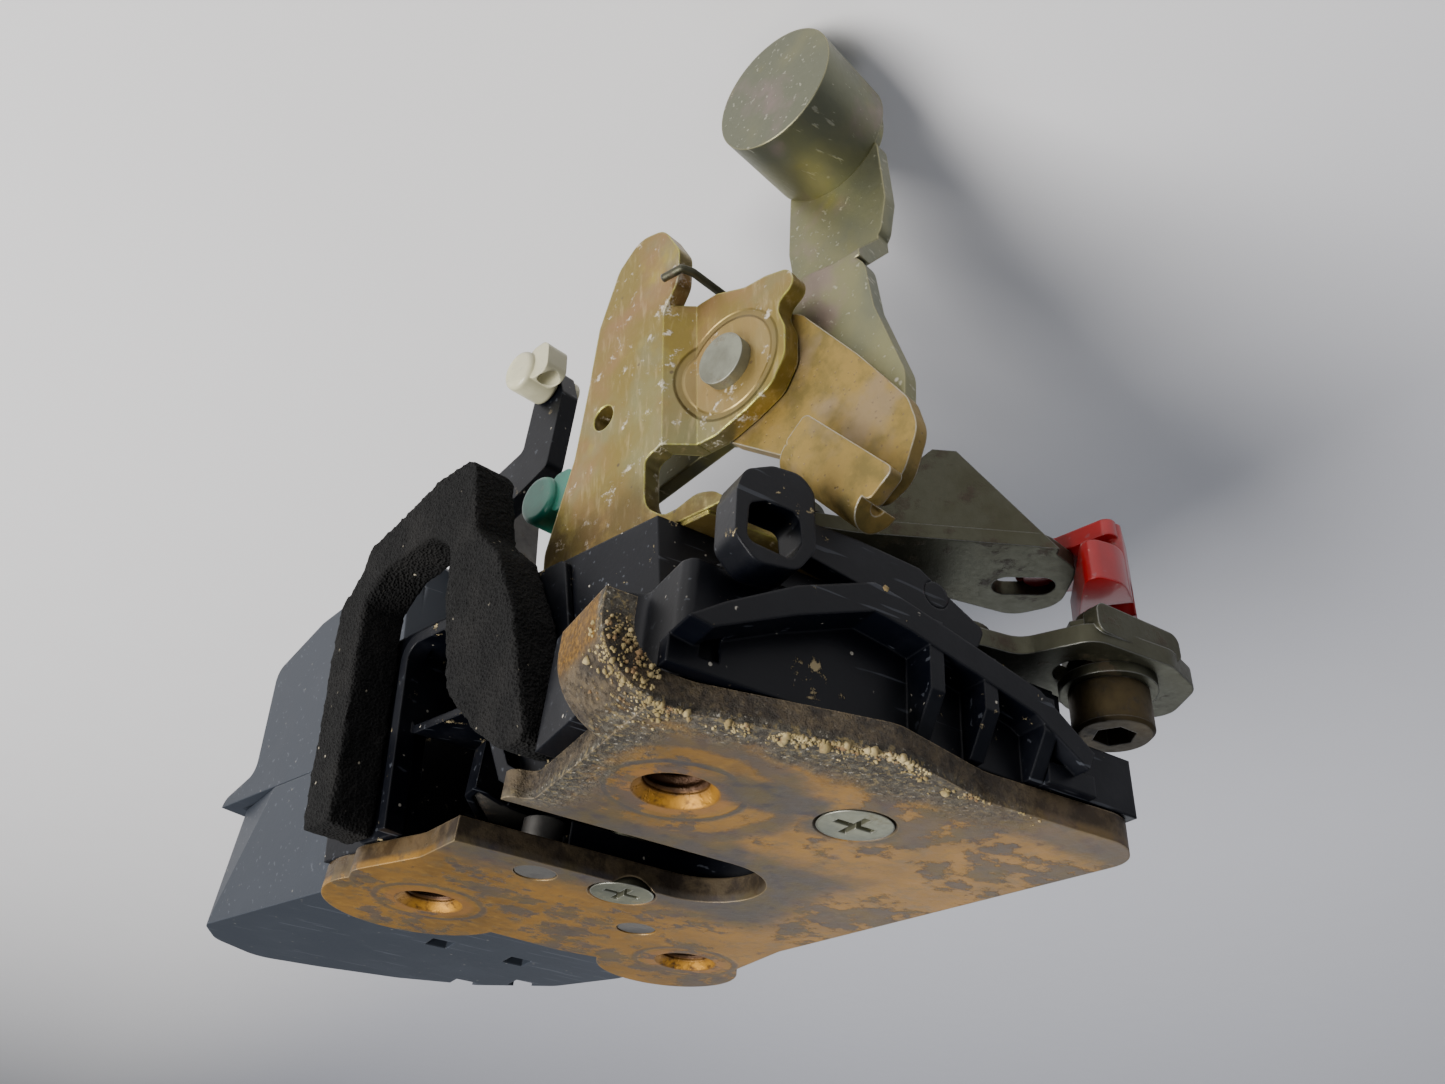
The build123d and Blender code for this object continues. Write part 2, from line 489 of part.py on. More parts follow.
def link_clip():
    """Red moulded clip: a hub in the slotted lever's oblong hole and a body round the lever's end."""
    body = rounded([(-23.0, -41.5), (-28.0, -42.5), (-34.5, -38.0), (-35.5, -32.0), (-32.6, -29.6)], 4.0)
    wall = rounded([(-28.6, -42.3), (-34.5, -38.0), (-35.5, -32.0), (-33.2, -30.2), (-29.4, -37.2)], 1.0)
    hub = rounded([(-28.0, -42.0), (-34.5, -38.0), (-35.5, -32.0), (-32.0, -28.6), (-26.0, -27.4),
                   (-23.8, -31.0),
                   (-26.0, -35.0)], 1.2)
    clip = slab(body, SLOTTED_TOP + 5.5, 5.2)
    clip += slab(wall - disc(RED_AT, 6.3), SLOTTED_TOP + 5.5, 10.0)
    clip += slab(hub, SLOTTED_TOP - LEVER_T - GAP, 2.2)
    clip += post(RED_AT, 1.85, SLOTTED_TOP - 1.2, 2.0)
    return clip - slab(Pos(-31.0, -37.6) * Rot(0, 0, 50) * SlotOverall(6.4, 3.0), SLOTTED_TOP + 6.0, 4.0)


# ---- fork and pawl ----------------------------------------------------------------------------------
def ray_from(at, radius, degrees):
    return at[0] + radius * cos(radians(degrees)), at[1] + radius * sin(radians(degrees))


def fork_blank(grow, latched_angle):
    """Outline of the fork in plan: a hub and two arms with a round-bottomed throat between them."""
    a = latched_angle
    arms = [ray_from(FORK_AT, 7.5, a - 95), ray_from(FORK_AT, 15.0, a - 46), ray_from(FORK_AT, 24.0, a - 36),
            ray_from(FORK_AT, 33.6, a - 18), ray_from(FORK_AT, 32.6, a), ray_from(FORK_AT, 28.6, a + 20),
            ray_from(FORK_AT, 23.0, a + 38), ray_from(FORK_AT, 14.0, a + 52), ray_from(FORK_AT, 7.5, a + 95)]
    blank = offset(rounded(arms, 1.2) + disc(FORK_AT, 8.6), grow)
    throat = disc(ray_from(FORK_AT, FORK_REACH, a), STRIKER_R + 0.4 - grow)
    mid = ray_from(FORK_AT, FORK_REACH + 10, a + 1)
    throat += Pos(*mid) * Rot(0, 0, a + 1) * Rectangle(20, 2 * (STRIKER_R + 0.4 - grow))
    return blank - throat


def fork():
    """Steel core of the fork, shown open: its throat faces the mouth."""
    angle = -83.0 + FORK_TRAVEL
    return slab(fork_blank(-0.9, angle) - disc(FORK_AT, PIVOT_R + RUN_FIT), FORK_TOP, FORK_T)


def fork_cover():
    """Plastic moulded round the fork's edge, which quietens the latch."""
    angle = -83.0 + FORK_TRAVEL
    ring = fork_blank(0.0, angle) - fork_blank(-0.9, angle)
    return slab(ring, FORK_TOP + 0.3, FORK_T + 0.6)


def pawl():
    """Catch that holds the fork by its back arm, drawn released."""
    base = [(-7.4, -27.5), (-7.0, -20.0), (-6.6, -13.2), (-6.0, -10.6), (-3.2, -10.4), (-1.2, -14.0),
            (0.6, -23.0),
            (0.6, -29.0), (-3.6, -30.6)]
    turned = Pos(*PAWL_AT) * Rot(0, 0, -PAWL_TRAVEL) * Pos(-PAWL_AT[0], -PAWL_AT[1]) * rounded(base, 1.0)
    return slab(turned - disc(PAWL_AT, 3.0 + RUN_FIT), FORK_TOP, FORK_T - 1.2)


def fork_pivot():
    """Stepped pin staked in the face plate and in the back plate."""
    pin = post(FORK_AT, 2.5, -0.15, PLATE_T + 0.2)
    pin += post(FORK_AT, PIVOT_R, -PLATE_T, HOUSING_DEPTH - PLATE_T)
    return pin + post(FORK_AT, 2.4, -HOUSING_DEPTH, SHEET_T + 0.8)


def pawl_pivot():
    """Pin on the floor of the housing's low part, tapped for the cross-head screw."""
    return post(PAWL_AT, 3.0, -6.0, STEP_DEPTH - 6.0 - WALL) - post(PAWL_AT, 2.4, 0, 9.2)


def staked_post():
    """Short post whose end is staked in the face plate beside the slot."""
    return post(POST_AT, 2.5, -0.15, PLATE_T + 3.0)


def back_pin():
    """Rivet that holds the back plate to the housing's inner boss."""
    back = -HOUSING_DEPTH - SHEET_T
    return post(BACK_RIVET_AT, 2.4, back + 6.5, 7.7) + post(BACK_RIVET_AT, 3.8, back, 1.2)


def fork_spring():
    """Torsion spring round the fork's pivot."""
    return [slab(disc(FORK_AT, 6.4) - disc(FORK_AT, 4.9), top, 1.3) for top in (-16.0, -17.8, -19.6)]


def pawl_spring():
    return [slab(disc(PAWL_AT, 4.9) - disc(PAWL_AT, 3.5), top, 0.5) for top in (-6.7, -7.6)]


def bumper():
    """Rubber block at the closed end of the slot, which stops the striker."""
    block = Pos(-10.2, 0) * Rectangle(4.6, 15.4) - disc((-0.4, 0), SLOT_R + 0.55)
    return slab(block, -16.6, 6.0)


# ---- power lock actuator --------------------------------------------------------------------------------
CASE_OUTLINE = [(38.0, CASE_START), (44.4, 83.0), (41.8, 90.6), (34.0, 97.0), (24.0, 95.2), (10.9, 91.4),
                (-1.4, 84.8), (-11.8, 74.0), (-17.4, 60.5), (-19.0, 50.0), (-18.0, CASE_START)]
COVER_OUTLINE = [(-96.0, 14.0), (-96.0, 25.5), (-86.0, 28.5), (-85.0, 46.0), (-72.0, 51.0), (-46.0, 55.0),
                 (-44.0, 50.0), (-44.0, 14.0)]


def actuator_case():
    """Front shell of the actuator, beside the latch housing and behind the plate's two lobes."""
    outline = rounded(CASE_OUTLINE, 6.0)
    shell = slab(outline, CASE_TOP, CASE_TOP - CASE_SPLIT) & behind(CASE_LEVEL)
    floor = CASE_TOP - CASE_WALL
    shell -= slab(offset(outline, -CASE_WALL), floor, 40) & behind(CASE_LEVEL - CASE_WALL)
    for at in CASE_SCREWS:
        shell += post(at, 3.2, floor, floor - CASE_SPLIT) - post(at, CASE_SCREW_R, floor - 3, 40)
    shell += slab(Pos(GEAR_AT[0], RACK_PITCH_Y - 2.9) * Rectangle(40.0, 2.4), floor, floor - GEAR_TOP - 0.1)
    for at in HOLES[1:]:
        shell -= post(at, COLLAR_R + 0.6, 0, COLLAR_L + PLATE_T + 0.8)
    for at in ((12.0, 63.5), (-1.0, 64.0), (1.0, 85.5), (-7.0, 77.5)):
        shell -= slab(Pos(*at) * Rectangle(3.4, 4.4), 0, 4.6)
    return shell


def actuator_cover():
    """Back shell of the actuator, stepped down over the motor."""
    outline = rounded(COVER_OUTLINE, 3.0)
    split = CASE_SPLIT - 0.15
    above = Pos(0, CASE_START + 200, split - 100) * Box(400, 400, 200)
    lid = slab(rounded(CASE_OUTLINE, 6.0), split, LID_T) & behind(CASE_LEVEL)
    room = sheet(offset(outline, -CASE_WALL), CASE_LEVEL - CASE_WALL, CASE_DEPTH - 2 * CASE_WALL)
    shell = (sheet(outline, CASE_LEVEL, CASE_DEPTH) & above) + lid - room
    for at in CASE_SCREWS:
        shell -= post(at, CASE_SCREW_R + 0.2, 0, 60)
    return shell


def case_screw(at):
    """Self-tapping screw with a hexagon socket."""
    seat = CASE_SPLIT - 0.15 - LID_T
    screw = post(at, CASE_SCREW_R, seat + 11, 11.5) + post(at, 3.0, seat, 1.9)
    return screw - slab(Pos(*at) * RegularPolygon(1.5, 6), seat - 0.8, 3)


def gear(at, teeth, top, thickness, bore_r, phase):
    """Spur gear with straight-sided teeth, cut thin so that the mesh runs with play."""
    root_r = GEAR_MODULE * (teeth / 2 - 1.3)
    tip_r = GEAR_MODULE * (teeth / 2 + 0.7)
    wheel = Circle(root_r)
    tooth = polygon([(root_r - 0.5, -0.74), (root_r - 0.5, 0.74), (tip_r, 0.26), (tip_r, -0.26)])
    for index in range(teeth):
        wheel += Rot(0, 0, phase + 360 * index / teeth) * tooth
    return slab(Pos(*at) * wheel - disc(at, bore_r), top, thickness)


def output_gear():
    """Gear between the motor's pinion and the lock rack."""
    return gear(GEAR_AT, GEAR_TEETH, GEAR_TOP, GEAR_T, 2.0 + RUN_FIT, 6.0)


def motor_pinion():
    return gear(PINION_AT, PINION_TEETH, -8.5, 6.0, 1.0, 0.0)


def lock_rack():
    """Toothed slider that the gear drives."""
    count, pitch = 8, GEAR_MODULE * pi
    top_y = RACK_PITCH_Y - 1.3 * GEAR_MODULE
    bar = Pos(GEAR_AT[0], top_y - 1.6) * Rectangle(28.0, 3.2)
    for index in range(count):
        x = GEAR_AT[0] + (index - (count - 1) / 2) * pitch
        bar += polygon([(x - 0.74, top_y - 0.2), (x + 0.74, top_y - 0.2), (x + 0.26, top_y + 2.0),
                        (x - 0.26, top_y + 2.0)])
    return slab(bar, GEAR_TOP, GEAR_T)


def gear_axle():
    """Axle with a shoulder under the gear."""
    floor = CASE_TOP - CASE_WALL
    axle = post(GEAR_AT, 2.0, floor, floor - CASE_SPLIT - 0.2)
    return axle + post(GEAR_AT, 3.2, floor, floor - GEAR_TOP - GAP)


def motor():
    """Small can motor, standing over its pinion."""
    can = post(PINION_AT, 6.2, -15.5, 26.0) & behind(CASE_LEVEL - CASE_WALL - 0.4)
    return can + post(PINION_AT, 3.0, -15.0, 2)


def motor_shaft():
    return post(PINION_AT, 1.0, -8.2, 6.6)


def output_arm():
    """Black arm from the actuator up to the lock rod's clip."""
    arm = rounded([(-42.5, 56.0), (-41.0, 62.0), (-33.0, 64.0), (-26.0, 66.0), (-23.5, 77.0),
                   (-19.0, 78.5), (-17.4, 73.0),
                   (-20.0, 61.0), (-29.0, 57.6), (-37.0, 55.6)], 1.4)
    lever = sheet(arm - disc(ARM_CLIP_AT, 1.9), ARM_TOP_LEVEL, 3.0)
    lever += sheet(disc(ARM_AT, 4.2), ARM_TOP_LEVEL, 4.6)
    return lever - stud(ARM_AT, 1.8 + RUN_FIT, 20, 30)


def arm_pin():
    """Pin of the output arm, on a lug of the actuator."""
    lug = sheet(rounded([(-44.0, 42.0), (-44.0, 62.5), (-33.5, 62.5), (-33.5, 50.5),
                         (-38.0, 42.0)], 1.0), 6.0, 5.0)
    return stud(ARM_AT, 1.8, 12.4, 8) + lug + stud(ARM_AT, 3.0, 12.4, 1.1)


def connector():
    """Socket for the wiring plug, on the actuator's back."""
    seat = CASE_SPLIT - 0.15 - LID_T
    shell = Pos(*CONNECTOR_AT, seat - 4.5) * Box(15.0, 12.0, 9.0)
    return shell - Pos(*CONNECTOR_AT, seat - 6.5) * Box(12.0, 9.0, 9.0)


def terminals():
    """Two flat contacts that stand on the socket's floor."""
    floor = CASE_SPLIT - 0.15 - LID_T - 2.0
    x, y = CONNECTOR_AT
    return [Pos(x + dx, y, floor - 2.5) * Box(2.4, 0.7, 5.0) for dx in (-3.0, 3.0)]


# ---- build and write ------------------------------------------------------------------------------------
NODES = {
    "face_plate": lambda: [face_plate()],
    "plate_screws": lambda: [plate_screw(at) for at in SCREW_SPOTS],
    "latch_housing": lambda: [latch_housing()],
    "side_cover": lambda: [side_cover()],
    "lever_shelf": lambda: [lever_shelf()],
    "mouth_liner": lambda: [mouth_liner()],
    "foam_seal": lambda: [foam_seal()],
    "lever_bracket": lambda: [lever_bracket()],
    "lever_rivet": lambda: [lever_rivet()],
    "release_lever": lambda: [release_lever()],
    "counterweight_lever": lambda: [counterweight_lever()],
    "counterweight": lambda: [counterweight()],
    "weight_rivet": lambda: [weight_rivet()],
    "green_rod_clip": lambda: [rod_clip(CLIP_AT, ARM_LEVEL + 0.1, 2.2, 7.4, 3.4)],
    "lever_spring": lever_spring,
    "slotted_lever": lambda: [slotted_lever()],
    "slotted_lever_pin": lambda: [slotted_pin()],
    "red_link_clip": lambda: [link_clip()],
    "lock_lever": lambda: [lock_lever()],
    "lock_lever_pin": lambda: [lock_pin()],
    "adjuster_lever": lambda: [adjuster_lever()],
    "adjuster_pin": lambda: [adjuster_pin()],
    "adjuster_washer": lambda: [adjuster_washer()],
    "adjuster_screw": lambda: [adjuster_screw()],
    "adjuster_nut": lambda: [adjuster_nut()],
    "fork": lambda: [fork()],
    "fork_cover": lambda: [fork_cover()],
    "fork_pivot": lambda: [fork_pivot()],
    "fork_spring": fork_spring,
    "pawl": lambda: [pawl()],
    "pawl_pivot": lambda: [pawl_pivot()],
    "pawl_spring": pawl_spring,
    "staked_post": lambda: [staked_post()],
    "back_plate_rivet": lambda: [back_pin()],
    "striker_bumper": lambda: [bumper()],
    "actuator_case": lambda: [actuator_case()],
    "actuator_cover": lambda: [actuator_cover()],
    "actuator_screws": lambda: [case_screw(at) for at in CASE_SCREWS],
    "output_gear": lambda: [output_gear()],
    "gear_axle": lambda: [gear_axle()],
    "motor_pinion": lambda: [motor_pinion()],
    "motor_shaft": lambda: [motor_shaft()],
    "motor": lambda: [motor()],
    "lock_rack": lambda: [lock_rack()],
    "output_arm": lambda: [output_arm()],
    "output_arm_pin": lambda: [arm_pin()],
    "white_rod_clip": lambda: [rod_clip(ARM_CLIP_AT, ARM_TOP_LEVEL + 0.1, 3.0, 6.0, 3.2)],
    "connector_shell": lambda: [connector()],
    "connector_terminals": terminals,
}

for node, build in NODES.items():
    save(node, *build())
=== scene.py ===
"""Looks of a worn vehicle door latch: its finishes, its foam seal, springs, threads, crust and grease."""

import json
from math import pi

import bmesh
import bpy
import numpy as np
from mathutils import Matrix, Vector


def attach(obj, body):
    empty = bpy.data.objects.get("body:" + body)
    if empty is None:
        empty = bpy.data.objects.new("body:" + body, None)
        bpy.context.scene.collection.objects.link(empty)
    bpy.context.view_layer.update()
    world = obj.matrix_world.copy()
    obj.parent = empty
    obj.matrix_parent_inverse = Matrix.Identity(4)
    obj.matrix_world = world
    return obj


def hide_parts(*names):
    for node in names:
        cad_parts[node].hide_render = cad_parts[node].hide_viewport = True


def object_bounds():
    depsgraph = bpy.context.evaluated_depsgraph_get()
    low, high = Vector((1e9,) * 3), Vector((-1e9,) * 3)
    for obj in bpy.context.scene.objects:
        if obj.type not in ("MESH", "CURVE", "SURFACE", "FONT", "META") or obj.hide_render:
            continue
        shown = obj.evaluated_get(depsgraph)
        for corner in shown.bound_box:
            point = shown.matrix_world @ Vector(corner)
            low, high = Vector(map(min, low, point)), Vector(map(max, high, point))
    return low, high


bl_info = {
    "name": "Vehicle door latch looks",
    "version": (1, 0, 0),
    "blender": (4, 5, 0),
    "location": "View3D > Sidebar > Door latch",
    "description": "Finishes and fine pieces for a door latch built around its fixed frame",
    "category": "Object",
}

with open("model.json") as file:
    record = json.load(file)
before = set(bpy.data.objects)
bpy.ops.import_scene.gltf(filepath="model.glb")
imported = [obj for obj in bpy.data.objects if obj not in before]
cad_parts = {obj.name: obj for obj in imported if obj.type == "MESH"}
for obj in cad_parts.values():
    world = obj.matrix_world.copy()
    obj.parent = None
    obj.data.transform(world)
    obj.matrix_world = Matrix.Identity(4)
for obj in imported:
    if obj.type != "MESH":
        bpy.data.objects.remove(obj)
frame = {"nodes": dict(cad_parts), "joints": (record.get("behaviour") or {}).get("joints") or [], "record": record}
CAD_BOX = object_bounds()
MM = 0.001
BEND_X, BEND_R = 23.2, 7.0      # where the plate's bend starts and its outer radius, in millimetres

# ---- the lever side's axes, as the record's rivet joint gives them --------------------------------
RIVET = next(joint for joint in frame["joints"] if joint["name"] == "release_lever_turn")
OUT = np.array(RIVET["axis"])
ACROSS = np.cross((0.0, 0.0, 1.0), OUT) * -1
ACROSS = ACROSS / np.linalg.norm(ACROSS)
HEIGHT = np.cross(OUT, ACROSS)
EAR_LEVEL = 16.0
RIVET_AT = (19.8, 55.0)
RIVET_FACE = tuple((RIVET_AT[0] * ACROSS + RIVET_AT[1] * HEIGHT + EAR_LEVEL * OUT) * MM)
HOLES = [mount["pos_m"] for mount in frame["record"]["mounts"] if mount["name"].startswith("plate_hole")]


def side_points(across, height, level):
    """Points of the lever side, in metres, from across, height and level in millimetres."""
    across, height, level = np.broadcast_arrays(across, height, level)
    return (across[..., None] * ACROSS + height[..., None] * HEIGHT + level[..., None] * OUT) * MM


def colour(red, green, blue):
    """Linear colour from 0-255 screen values."""
    return tuple((channel / 255) ** 2.2 for channel in (red, green, blue))


# ---- sizes and colours ----------------------------------------------------------------------------
def tint(name, description, shade):
    return bpy.props.FloatVectorProperty(name=name, description=description, size=3, subtype="COLOR",
                                         min=0, max=1, default=shade)


def length(name, description, metres):
    return bpy.props.FloatProperty(name=name, description=description, default=metres, unit="LENGTH",
                                   precision=5)


class LatchColours(bpy.types.PropertyGroup):
    plate: tint("Plate", "Yellow zinc of the face plate", colour(146, 107, 46))
    plate_worn: tint("Plate, worn", "Bare grey zinc where the yellow coat is gone", colour(76, 75, 74))
    crust: tint("Crust", "Dried dirt along the plate's bent edge", colour(126, 111, 74))
    bracket: tint("Bracket", "Yellow zinc of the lever bracket", colour(124, 108, 56))
    bracket_blush: tint("Bracket, blush", "Pink shift of the zinc's film", colour(138, 106, 74))
    olive: tint("Olive zinc", "Counterweight and its lever", colour(124, 122, 92))
    grey_zinc: tint("Grey zinc", "Slotted and adjuster levers", colour(76, 76, 64))
    steel: tint("Pin steel", "Rivets and pins", colour(112, 110, 106))
    screw: tint("Screw zinc", "Cross-head screws", colour(132, 132, 112))
    soiled: tint("Soiled steel", "Adjusting screw", colour(60, 53, 40))
    black: tint("Black nylon", "Housing and covers", colour(7, 10, 17))
    slate: tint("Slate plastic", "Actuator shells", colour(38, 43, 51))
    foam: tint("Foam", "Foam seal", colour(28, 28, 28))
    grease: tint("Dried grease", "Crumbs on the black plastic", colour(150, 136, 104))
    teal: tint("Teal", "Handle rod's clip", colour(4, 98, 80))
    cream: tint("Cream", "Lock rod's clip", colour(172, 168, 140))
    red: tint("Red", "Link clip", colour(132, 6, 16))
    floor: tint("Floor", "Plain pale floor", colour(220, 219, 220))


class LatchSizes(bpy.types.PropertyGroup):
    wire: length("Spring wire", "Radius of the torsion spring's wire", 0.00055)
    pore: length("Foam pore", "Depth of the foam's open pores", 0.00016)
    thread_pitch: length("Thread pitch", "Pitch of the plate's threads", 0.00125)
    thread_depth: length("Thread depth", "Height of the thread's ridge", 0.0003)
    grain: length("Crust grain", "Usual radius of a grain of crust", 0.00024)
    edge: length("Edge radius", "How far the metal's edges look rounded", 0.0003)


# ---- shader maths -----------------------------------------------------------------------------------
class Value:
    """A socket that carries a number. Python's operators on it add Math nodes."""

    def __init__(self, look, socket):
        self.look, self.socket = look, socket

    def join(self, operation, first, second):
        return self.look.number("ShaderNodeMath", {"operation": operation}, {0: first, 1: second})

    def __add__(self, other): return self.join("ADD", self, other)
    def __radd__(self, other): return self.join("ADD", other, self)
    def __sub__(self, other): return self.join("SUBTRACT", self, other)
    def __rsub__(self, other): return self.join("SUBTRACT", other, self)
    def __mul__(self, other): return self.join("MULTIPLY", self, other)
    def __rmul__(self, other): return self.join("MULTIPLY", other, self)
    def __truediv__(self, other): return self.join("DIVIDE", self, other)
    def __pow__(self, other): return self.join("POWER", self, other)

    def higher(self, other): return self.join("MAXIMUM", self, other)

    def step(self, low, high):
        """0 below low, 1 above high, smooth between. With high under low it falls instead."""
        return self.look.number("ShaderNodeMapRange", {"interpolation_type": "SMOOTHSTEP"},
                                {0: self, 1: low, 2: high, 3: 0.0, 4: 1.0})


class Look:
    """One material. Its Object coordinates are the part's own frame, in metres."""

    def __init__(self, name, metallic, roughness, coat=0.0, gloss=0.5):
        self.material = bpy.data.materials.new(name)
        self.material.use_nodes = True
        self.tree = self.material.node_tree
        self.shader = self.tree.nodes["Principled BSDF"]
        self.shader.inputs["Metallic"].default_value = metallic
        self.shader.inputs["Roughness"].default_value = roughness
        self.shader.inputs["Coat Weight"].default_value = coat
        self.shader.inputs["Specular IOR Level"].default_value = gloss
        self.shader.inputs["Coat Roughness"].default_value = 0.12
        self.place = self.node("ShaderNodeTexCoord", {}, {}).outputs["Object"]
        split = self.node("ShaderNodeSeparateXYZ", {}, {0: self.place})
        self.x, self.y, self.z = (Value(self, socket) for socket in split.outputs)

    def node(self, kind, settings, inputs):
        """Add a node of that kind: its settings first, then the values or links of its sockets."""
        made = self.tree.nodes.new(kind)
        for key, setting in settings.items():
            setattr(made, key, setting)
        for key, given in inputs.items():
            given = given.socket if isinstance(given, Value) else given
            if isinstance(given, bpy.types.NodeSocket):
                self.tree.links.new(given, made.inputs[key])
            else:
                made.inputs[key].default_value = given
        return made

    def number(self, kind, settings, inputs, output=0):
        return Value(self, self.node(kind, settings, inputs).outputs[output])

    def noise(self, scale, detail=4.0, rough=0.55, shift=0.0, stretch=(1, 1, 1), turn=(0, 0, 0)):
        shifted = (shift, shift * 0.7, -shift)
        place = self.node("ShaderNodeMapping", {}, {0: self.place, 1: shifted, 2: turn, 3: stretch})
        settings = {"Scale": scale, "Detail": detail, "Roughness": rough, "Vector": place.outputs[0]}
        return self.number("ShaderNodeTexNoise", {}, settings)

    def cells(self, scale, shift=0.0, feature="F1"):
        place = self.node("ShaderNodeMapping", {}, {0: self.place, 1: (shift, shift, shift)})
        inputs = {"Vector": place.outputs[0], "Scale": scale}
        return self.number("ShaderNodeTexVoronoi", {"feature": feature}, inputs)

    def near(self, x, y):
        """Distance in plan from the upright line through x, y, in metres."""
        return ((self.x - x) ** 2.0 + (self.y - y) ** 2.0) ** 0.5

    def blend(self, amount, first, second):
        """Colour that goes from first to second as amount goes from 0 to 1."""
        mix = self.node("ShaderNodeMix", {"data_type": "RGBA"}, {0: amount})
        for index, given in ((6, first), (7, second)):
            if isinstance(given, bpy.types.NodeSocket):
                self.tree.links.new(given, mix.inputs[index])
            else:
                mix.inputs[index].default_value = (*given[:3], 1.0)
        return mix.outputs[2]

    def edges(self, radius):
        """Normal rounded over the edges, and a mask that is 1 on them."""
        soft = self.node("ShaderNodeBevel", {"samples": 6}, {0: radius}).outputs[0]
        hard = self.node("ShaderNodeNewGeometry", {}, {}).outputs["True Normal"]
        dot = self.number("ShaderNodeVectorMath", {"operation": "DOT_PRODUCT"}, {0: soft, 1: hard}, "Value")
        return soft, (1 - dot).step(0.02, 0.22)

    def finish(self, shade, rough, height=None, depth=0.0001, normal=None):
        """Link the colour, the roughness and, where given, the relief."""
        self.tree.links.new(shade, self.shader.inputs["Base Color"])
        self.tree.links.new(rough.socket, self.shader.inputs["Roughness"])
        if height is not None:
            inputs = {"Height": height, "Distance": depth, "Strength": 1.0}
            if normal is not None:
                inputs["Normal"] = normal
            normal = self.node("ShaderNodeBump", {}, inputs).outputs[0]
        if normal is not None:
            self.tree.links.new(normal, self.shader.inputs["Normal"])
        return self.material

    def metal(self, amount):
        self.tree.links.new(amount.socket, self.shader.inputs["Metallic"])


